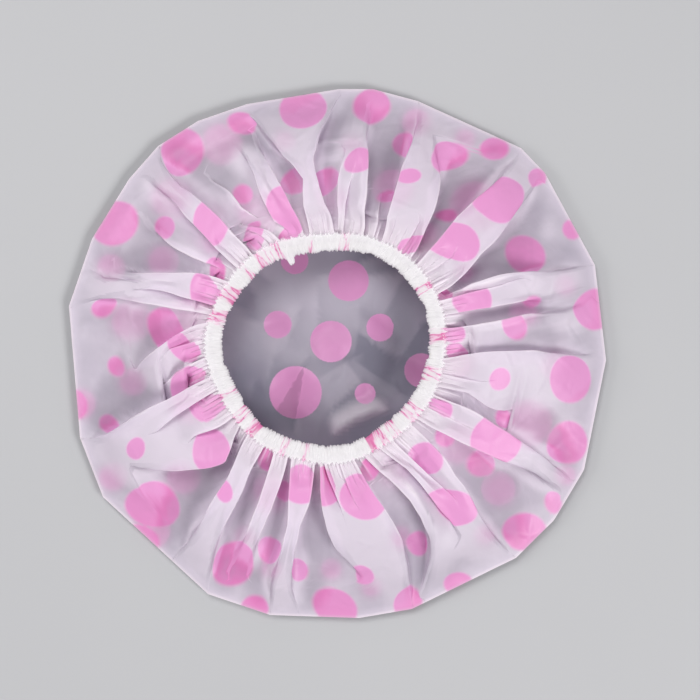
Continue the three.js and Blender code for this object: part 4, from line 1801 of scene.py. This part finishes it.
@dataclass(frozen=True)
class FilmFinish:
    """Frosted film with a pink dotted print: white where it lies in plies, with painted shade on the grey
    crown and in the hollows beside the folds, and painted highlights along crests and rim.
    """

    # Grey that the crown is painted towards, as painted shade.
    grey: Colour = (0.235, 0.23, 0.30)
    # Thin film, reached in the hollows beside the folds, where it stands for painted shade.
    thin_and_shaded: Colour = (0.82, 0.75, 0.86)
    white: Colour = (0.92, 0.835, 0.94)
    # White of the painted highlights on crests and rim, and of the many layers near the hem.
    highlight_and_layer_white: Colour = (0.97, 0.885, 0.955)
    ink: Colour = (0.90, 0.385, 0.72)
    # Ink in painted shade, for the hollows and the folds near the hem.
    shaded_ink: Colour = (0.82, 0.18, 0.50)
    cover: float = 0.48
    ply_cover: float = 0.36
    ink_cover: float = 0.30
    # Cover added under the painted highlights.
    highlight_cover: float = 0.3
    # Cover added where the crown is painted in shade.
    crown_shade_cover: float = 0.22
    through: float = 0.25
    clear: Colour = (0.86, 0.845, 0.885)
    crinkles: float = 62.0
    relief: float = 0.001

    @staticmethod
    def hollow(graph: Graph) -> Socket:
        """Gives the mask of the hollows beside the folds, where painted shade deepens the print."""
        plies = graph.mark("plies")
        return graph.times(graph.fit(plies, 0.1, 0.4, 0.0, 1.0), graph.fit(plies, 0.42, 0.72, 0.6, 0.0))

    @staticmethod
    def dots(graph: Graph, grain: Socket, hollow: Socket) -> Socket:
        """Gives the mask of the print, with softer edges in the skirt and in its hollows.

        Args:
            graph: The material's graph.
            grain: Fine grain of the film.
            hollow: Mask of the hollows.

        Returns:
            The mask.
        """
        reach = graph.maths("ADD", graph.mark("dot_reach"), graph.fit(grain, 0.3, 0.7, -0.12, 0.12))
        soft = graph.fit(graph.mark("single"), 0.0, 0.4, 0.85, 0.35)
        soft = graph.maths("ADD", soft, graph.times(hollow, 1.5))
        return graph.fit(graph.maths("DIVIDE", reach, soft), -1.0, 1.0, 1.0, 0.0)

    def plain(self, graph: Graph, plies: Socket, painted_highlight: Socket) -> Socket:
        """Gives the colour of film without print.

        Args:
            graph: The material's graph.
            plies: How far the film lies in plies, low in the hollows, where shade is painted.
            painted_highlight: Mask of the painted highlights on the creases and the rim.

        Returns:
            The colour.
        """
        single = graph.mark("single")
        glow = graph.times(graph.mark("beneath"), graph.fit(single, 0.0, 0.4, 1.0, 0.0))
        glow = graph.times(glow, graph.fit(plies, 0.4, 1.0, 0.42, 0.16))
        # Painted shade: the film greys towards the thin colour in the hollows, and whitens on the plies.
        colour = graph.blend(plies, self.thin_and_shaded, self.white)
        colour = graph.blend(glow, colour, self.ink)
        # Painted shade: the crown is greyed by its single mark.
        colour = graph.blend(single, colour, self.grey)
        # Painted highlights on crests and rim, and the real white of the many layers near the hem.
        return graph.blend(graph.maths("MAXIMUM", painted_highlight, graph.mark("gather")), colour, self.highlight_and_layer_white)

    def printed(self, graph: Graph, plies: Socket, painted_highlight: Socket,
                hollow: Socket) -> Socket:
        """Gives the colour of printed film, with painted shade and highlights.

        Args:
            graph: The material's graph.
            plies: How far the film lies in plies, low in the hollows, where shade is painted.
            painted_highlight: Mask of the painted highlights on the creases and the rim.
            hollow: Mask of the hollows.

        Returns:
            The colour.
        """
        single = graph.mark("single")
        # Painted shade on the print: darker in the hollows and where the crown is painted darkest, and deep
        # pink in the folds near the hem.
        shade = graph.times(graph.fit(plies, 0.0, 0.4, 0.9, 1.0), graph.fit(single, 0.0, 0.5, 1.0, 0.96))
        shade = graph.times(shade, graph.fit(single, 0.86, 1.0, 1.0, 0.72))
        ink_shade = graph.times(graph.mark("gather"), graph.fit(graph.mark("plies"), 0.6, 1.0, 0.85, 0.0))
        ink_shade = graph.maths("MAXIMUM", ink_shade, hollow)
        colour = graph.darken(graph.blend(ink_shade, self.ink, self.shaded_ink), shade)
        # Painted highlight on the print along crests and rim.
        return graph.blend(graph.times(painted_highlight, 0.35), colour, self.highlight_and_layer_white)

    def material(self) -> bpy.types.Material:
        """Builds the film's material.

        Returns:
            The material.
        """
        material, graph, sink = blank_material("printed_film")
        texture = FilmTexture.place(graph, self.crinkles)
        cloud, grain, height = (texture.outputs[name] for name in ("Cloud", "Grain", "Height"))
        # Painted highlights along the sharp crests, the crown's lit slope and the rim.
        painted_highlight = graph.maths("MAXIMUM", graph.mark("crease"), graph.mark("rim"))
        plies = graph.maths("MAXIMUM", graph.mark("plies"), graph.times(graph.mark("gather"), 0.8))
        plies = graph.maths("ADD", plies, graph.fit(cloud, 0.3, 0.7, -0.12, 0.12), True)
        hollow = self.hollow(graph)
        dot = self.dots(graph, grain, hollow)
        colour = graph.blend(dot, self.plain(graph, plies, painted_highlight), self.printed(graph, plies, painted_highlight, hollow))
        cover = graph.maths("ADD", graph.times(dot, self.ink_cover), graph.times(painted_highlight, self.highlight_cover))
        # The crown's painted shade also closes the film to light.
        cover = graph.maths("ADD", cover, graph.times(graph.mark("single"), self.crown_shade_cover))
        closed = graph.fit(plies, 0.0, 1.0, self.cover, self.cover + self.ply_cover)
        cover = graph.maths("ADD", cover, closed, True)
        rough = graph.maths("SUBTRACT", graph.fit(grain, 0.3, 0.7, 0.40, 0.52), graph.times(dot, 0.06))
        film = graph.film(colour, rough, height, self.relief, self.through)
        graph.tree.links.new(graph.opened(film, cover, self.clear), sink.inputs[0])
        return material


@dataclass(frozen=True)
class HemFinish:
    """Many gathered layers of the same film, white and nearly closed to light, with painted light and shade
    on the ridges and valleys of its gathers.
    """

    white: Colour = (0.93, 0.905, 0.93)
    ink: Colour = (0.95, 0.56, 0.78)
    # Ink in painted shade, for the valleys of the gathers.
    shaded_ink: Colour = (0.80, 0.17, 0.44)
    cover: float = 0.90
    through: float = 0.2
    clear: Colour = (1.0, 1.0, 1.0)
    crinkles: float = 240.0
    relief: float = 0.0005

    def material(self) -> bpy.types.Material:
        """Builds the hem's material.

        Returns:
            The material.
        """
        material, graph, sink = blank_material("gathered_film")
        texture = FilmTexture.place(graph, self.crinkles)
        cloud, grain, height = (texture.outputs[name] for name in ("Cloud", "Grain", "Height"))
        dot = graph.fit(graph.mark("dot_reach"), -0.9, 0.9, 1.0, 0.0)
        ridge = graph.maths("ADD", graph.mark("ridge"), graph.fit(cloud, 0.3, 0.7, -0.25, 0.25))
        # Painted light and shade on the print: the ink fades on the ridges and deepens in the valleys, and
        # the whole is darkened a little in the crinkles' hollows.
        colour = graph.blend(graph.times(dot, graph.fit(ridge, 0.25, 0.9, 0.8, 0.1)), self.white, self.ink)
        colour = graph.blend(graph.times(dot, graph.fit(ridge, 0.0, 0.3, 0.9, 0.0)), colour, self.shaded_ink)
        colour = graph.darken(colour, graph.fit(height, 0.3, 0.9, 0.97, 1.02))
        cover = graph.fit(cloud, 0.3, 0.7, self.cover - 0.07, self.cover + 0.05)
        cover = graph.times(cover, graph.fit(graph.mark("edge"), 0.1, 1.0, 1.0, 0.15))
        rough = graph.fit(grain, 0.3, 0.7, 0.36, 0.48)
        film = graph.film(colour, rough, height, self.relief, self.through)
        graph.tree.links.new(graph.opened(film, cover, self.clear), sink.inputs[0])
        return material


@dataclass(frozen=True)
class ElasticFinish:
    """White braided elastic with a fine rib across it, painted darker in its grooves as shade."""

    white: Colour = (0.82, 0.80, 0.76)
    groove_shade: Colour = (0.62, 0.60, 0.57)
    ribs: float = 900.0
    relief: float = 0.0002

    def material(self) -> bpy.types.Material:
        """Builds the elastic's material.

        Returns:
            The material.
        """
        material, graph, sink = blank_material("braided_elastic")
        place = graph.node("ShaderNodeTexCoord").outputs["Object"]
        braid = {"Vector": place, "Scale": self.ribs, "Distortion": 2.0, "Detail": 1.0}
        weave = graph.node("ShaderNodeTexWave", braid, wave_type="BANDS", bands_direction="DIAGONAL")
        fuzz = graph.node("ShaderNodeTexNoise", {"Vector": place, "Scale": 2600.0, "Detail": 2.0}).outputs[0]
        height = graph.maths("ADD", weave.outputs["Fac"], graph.times(fuzz, 0.5))
        # Painted shade: the weave's low parts take the darker groove colour.
        colour = graph.blend(graph.fit(height, 0.3, 1.1, 0.0, 1.0), self.groove_shade, self.white)
        bump = graph.node("ShaderNodeBump", {"Strength": 0.5, "Distance": self.relief, "Height": height})
        rough = graph.fit(fuzz, 0.3, 0.7, 0.7, 0.9)
        body = graph.node("ShaderNodeBsdfPrincipled", {"Base Color": colour, "Roughness": rough,
                                                       "Normal": bump.outputs[0]})
        graph.tree.links.new(body.outputs[0], sink.inputs[0])
        return material


@dataclass(frozen=True)
class ThreadFinish:
    """White twisted sewing thread with a soft lustre, painted darker between its twists as shade."""

    white: Colour = (0.92, 0.91, 0.89)
    hollow: Colour = (0.70, 0.69, 0.68)
    relief: float = 0.0001

    def material(self) -> bpy.types.Material:
        """Builds the thread's material once, for both threads.

        Returns:
            The material.
        """
        name = "sewing_thread"
        if name in bpy.data.materials:
            return bpy.data.materials[name]
        material, graph, sink = blank_material(name)
        wave = graph.maths("SINE", graph.times(graph.mark("twist"), 2.0), 0.0)
        ply = graph.fit(wave, -1.0, 1.0, 0.0, 1.0)
        # Painted shade: the thread darkens towards the hollow colour between its twists.
        colour = graph.blend(ply, self.hollow, self.white)
        bump = graph.node("ShaderNodeBump", {"Strength": 0.4, "Distance": self.relief, "Height": ply})
        rough = graph.fit(ply, 0.0, 1.0, 0.62, 0.45)
        body = graph.node("ShaderNodeBsdfPrincipled", {"Base Color": colour, "Roughness": rough,
                                                       "Sheen Weight": 0.3, "Normal": bump.outputs[0]})
        graph.tree.links.new(body.outputs[0], sink.inputs[0])
        return material


@dataclass(frozen=True)
class FloorFinish:
    """Plain pale table top with a faint mottle."""

    pale: Colour = (0.45, 0.45, 0.465)
    light: Colour = (0.47, 0.47, 0.485)

    def material(self) -> bpy.types.Material:
        """Builds the table's material.

        Returns:
            The material.
        """
        material, graph, sink = blank_material("pale_table")
        place = graph.node("ShaderNodeTexCoord").outputs["Object"]
        mottle = graph.node("ShaderNodeTexNoise", {"Vector": place, "Scale": 6.0, "Detail": 3.0})
        colour = graph.blend(mottle.outputs[0], self.pale, self.light)
        body = graph.node("ShaderNodeBsdfPrincipled", {"Base Color": colour, "Roughness": 0.6})
        graph.tree.links.new(body.outputs[0], sink.inputs[0])
        return material


@dataclass
class PictureFrame:
    """Camera straight above the cap, framed as the picture is."""

    pixels: int = 700
    scale: float = 0.521
    middle: tuple[float, float] = (338.0, 353.0)
    height: float = 1100.0
    measured_at: float = 5.0
    sensor: float = 36.0

    def on_table(self, across: float, down: float) -> Vector:
        """Gives the point at the rim's height that shows at a picture position."""
        right, up = across - self.middle[0], self.middle[1] - down
        return Vector((right * self.scale, up * self.scale, self.measured_at))

    def eye(self) -> Vector:
        """Gives the camera's position in millimetres."""
        half = self.pixels / 2
        spot = self.on_table(half, half)
        return Vector((spot.x, spot.y, self.height))

    def ray(self, across: float, down: float) -> tuple[Vector, Vector]:
        """Gives the sight line of a picture position.

        Args:
            across: Picture position from the left.
            down: Picture position from the top.

        Returns:
            The line's start and direction.
        """
        origin = self.eye()
        return origin, (self.on_table(across, down) - origin).normalized()

    def build(self) -> Piece:
        """Adds the camera.

        Returns:
            The camera object.
        """
        lens = bpy.data.cameras.new("camera")
        half_width = self.pixels * self.scale / 2
        lens.sensor_fit = "HORIZONTAL"
        lens.sensor_width = self.sensor
        lens.lens = self.sensor / 2 * (self.height - self.measured_at) / half_width
        camera = bpy.data.objects.new("camera", lens)
        camera.location = self.eye() * MM
        bpy.context.scene.collection.objects.link(camera)
        bpy.context.scene.camera = camera
        return camera


@dataclass(frozen=True)
class Lamp:
    """One soft studio light.

    Attributes:
        name: Name of the light.
        place: Position in metres.
        size: Width of the light in metres.
        power: Strength in watts.
    """

    name: str
    place: tuple[float, float, float]
    size: float
    power: float


@dataclass
class Studio:
    """Pale table, soft lights and an even surround."""

    lamps: tuple[Lamp, ...] = (
        Lamp("key_light", (1.4, -1.15, 1.85), 1.0, 42.5),
        Lamp("side_light", (-1.90, 0.3, 1.30), 1.0, 16.5),
        Lamp("top_light", (-0.5, 0.9, 2.1), 1.0, 23.0))
    surround: float = 0.25
    table_size: float = 6.0
    table_drop: float = 0.0004
    finish: FloorFinish = field(default_factory=FloorFinish)

    def build(self) -> Piece:
        """Adds the table, lights and surround.

        Returns:
            The table object.
        """
        bpy.ops.object.select_all(action="DESELECT")
        bpy.ops.mesh.primitive_plane_add(size=self.table_size, location=(0.0, 0.0, -self.table_drop))
        floor = bpy.context.object
        floor.name = "floor"
        bpy.ops.object.transform_apply(location=True, rotation=True, scale=True)
        floor.data.materials.append(self.finish.material())
        for lamp in self.lamps:
            light = bpy.data.lights.new(lamp.name, "AREA")
            light.size, light.energy = lamp.size, lamp.power
            holder = bpy.data.objects.new(lamp.name, light)
            holder.location = lamp.place
            holder.rotation_euler = (-Vector(lamp.place)).to_track_quat("-Z", "Y").to_euler()
            bpy.context.scene.collection.objects.link(holder)
        world = bpy.data.worlds.new("studio")
        world.use_nodes = True
        sky = world.node_tree.nodes["Background"]
        sky.inputs[0].default_value = (1.0, 1.0, 1.0, 1.0)
        sky.inputs[1].default_value = self.surround
        bpy.context.scene.world = world
        bpy.context.scene.view_settings.view_transform = "Standard"
        return floor


def report(piece: Piece) -> None:
    """Logs the name and size of a finished piece."""
    LOG.info("%s: %d corners, %d faces", piece.name, len(piece.data.vertices), len(piece.data.polygons))


def main() -> None:
    """Builds the cap piece by piece."""
    logging.basicConfig(level=logging.INFO, format="%(message)s")
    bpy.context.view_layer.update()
    picture = PictureFrame()
    picture.build()
    Studio().build()
    cap = FilmCap()
    film = cap.build()
    DottedPrint().apply(film, cap, picture)
    turned = TurnedHem()
    hem = turned.build(cap.skirt.plan.at(1.0))
    turned.dress(hem, HemFinish())
    cap.dress(film, FilmFinish(), hem)
    elastic = ElasticStrip()
    strip = elastic.build()
    elastic.dress(strip, ElasticFinish())
    pieces = [film, hem, strip]
    for thread in (SeamThread("needle_stitches", "needle_thread", SeamSide.UPPER),
                   SeamThread("bobbin_stitches", "bobbin_thread", SeamSide.LOWER)):
        stitches = thread.build()
        thread.dress(stitches, ThreadFinish())
        pieces.append(stitches)
    for piece in pieces:
        report(piece)


if __name__ == "__main__":
    main()
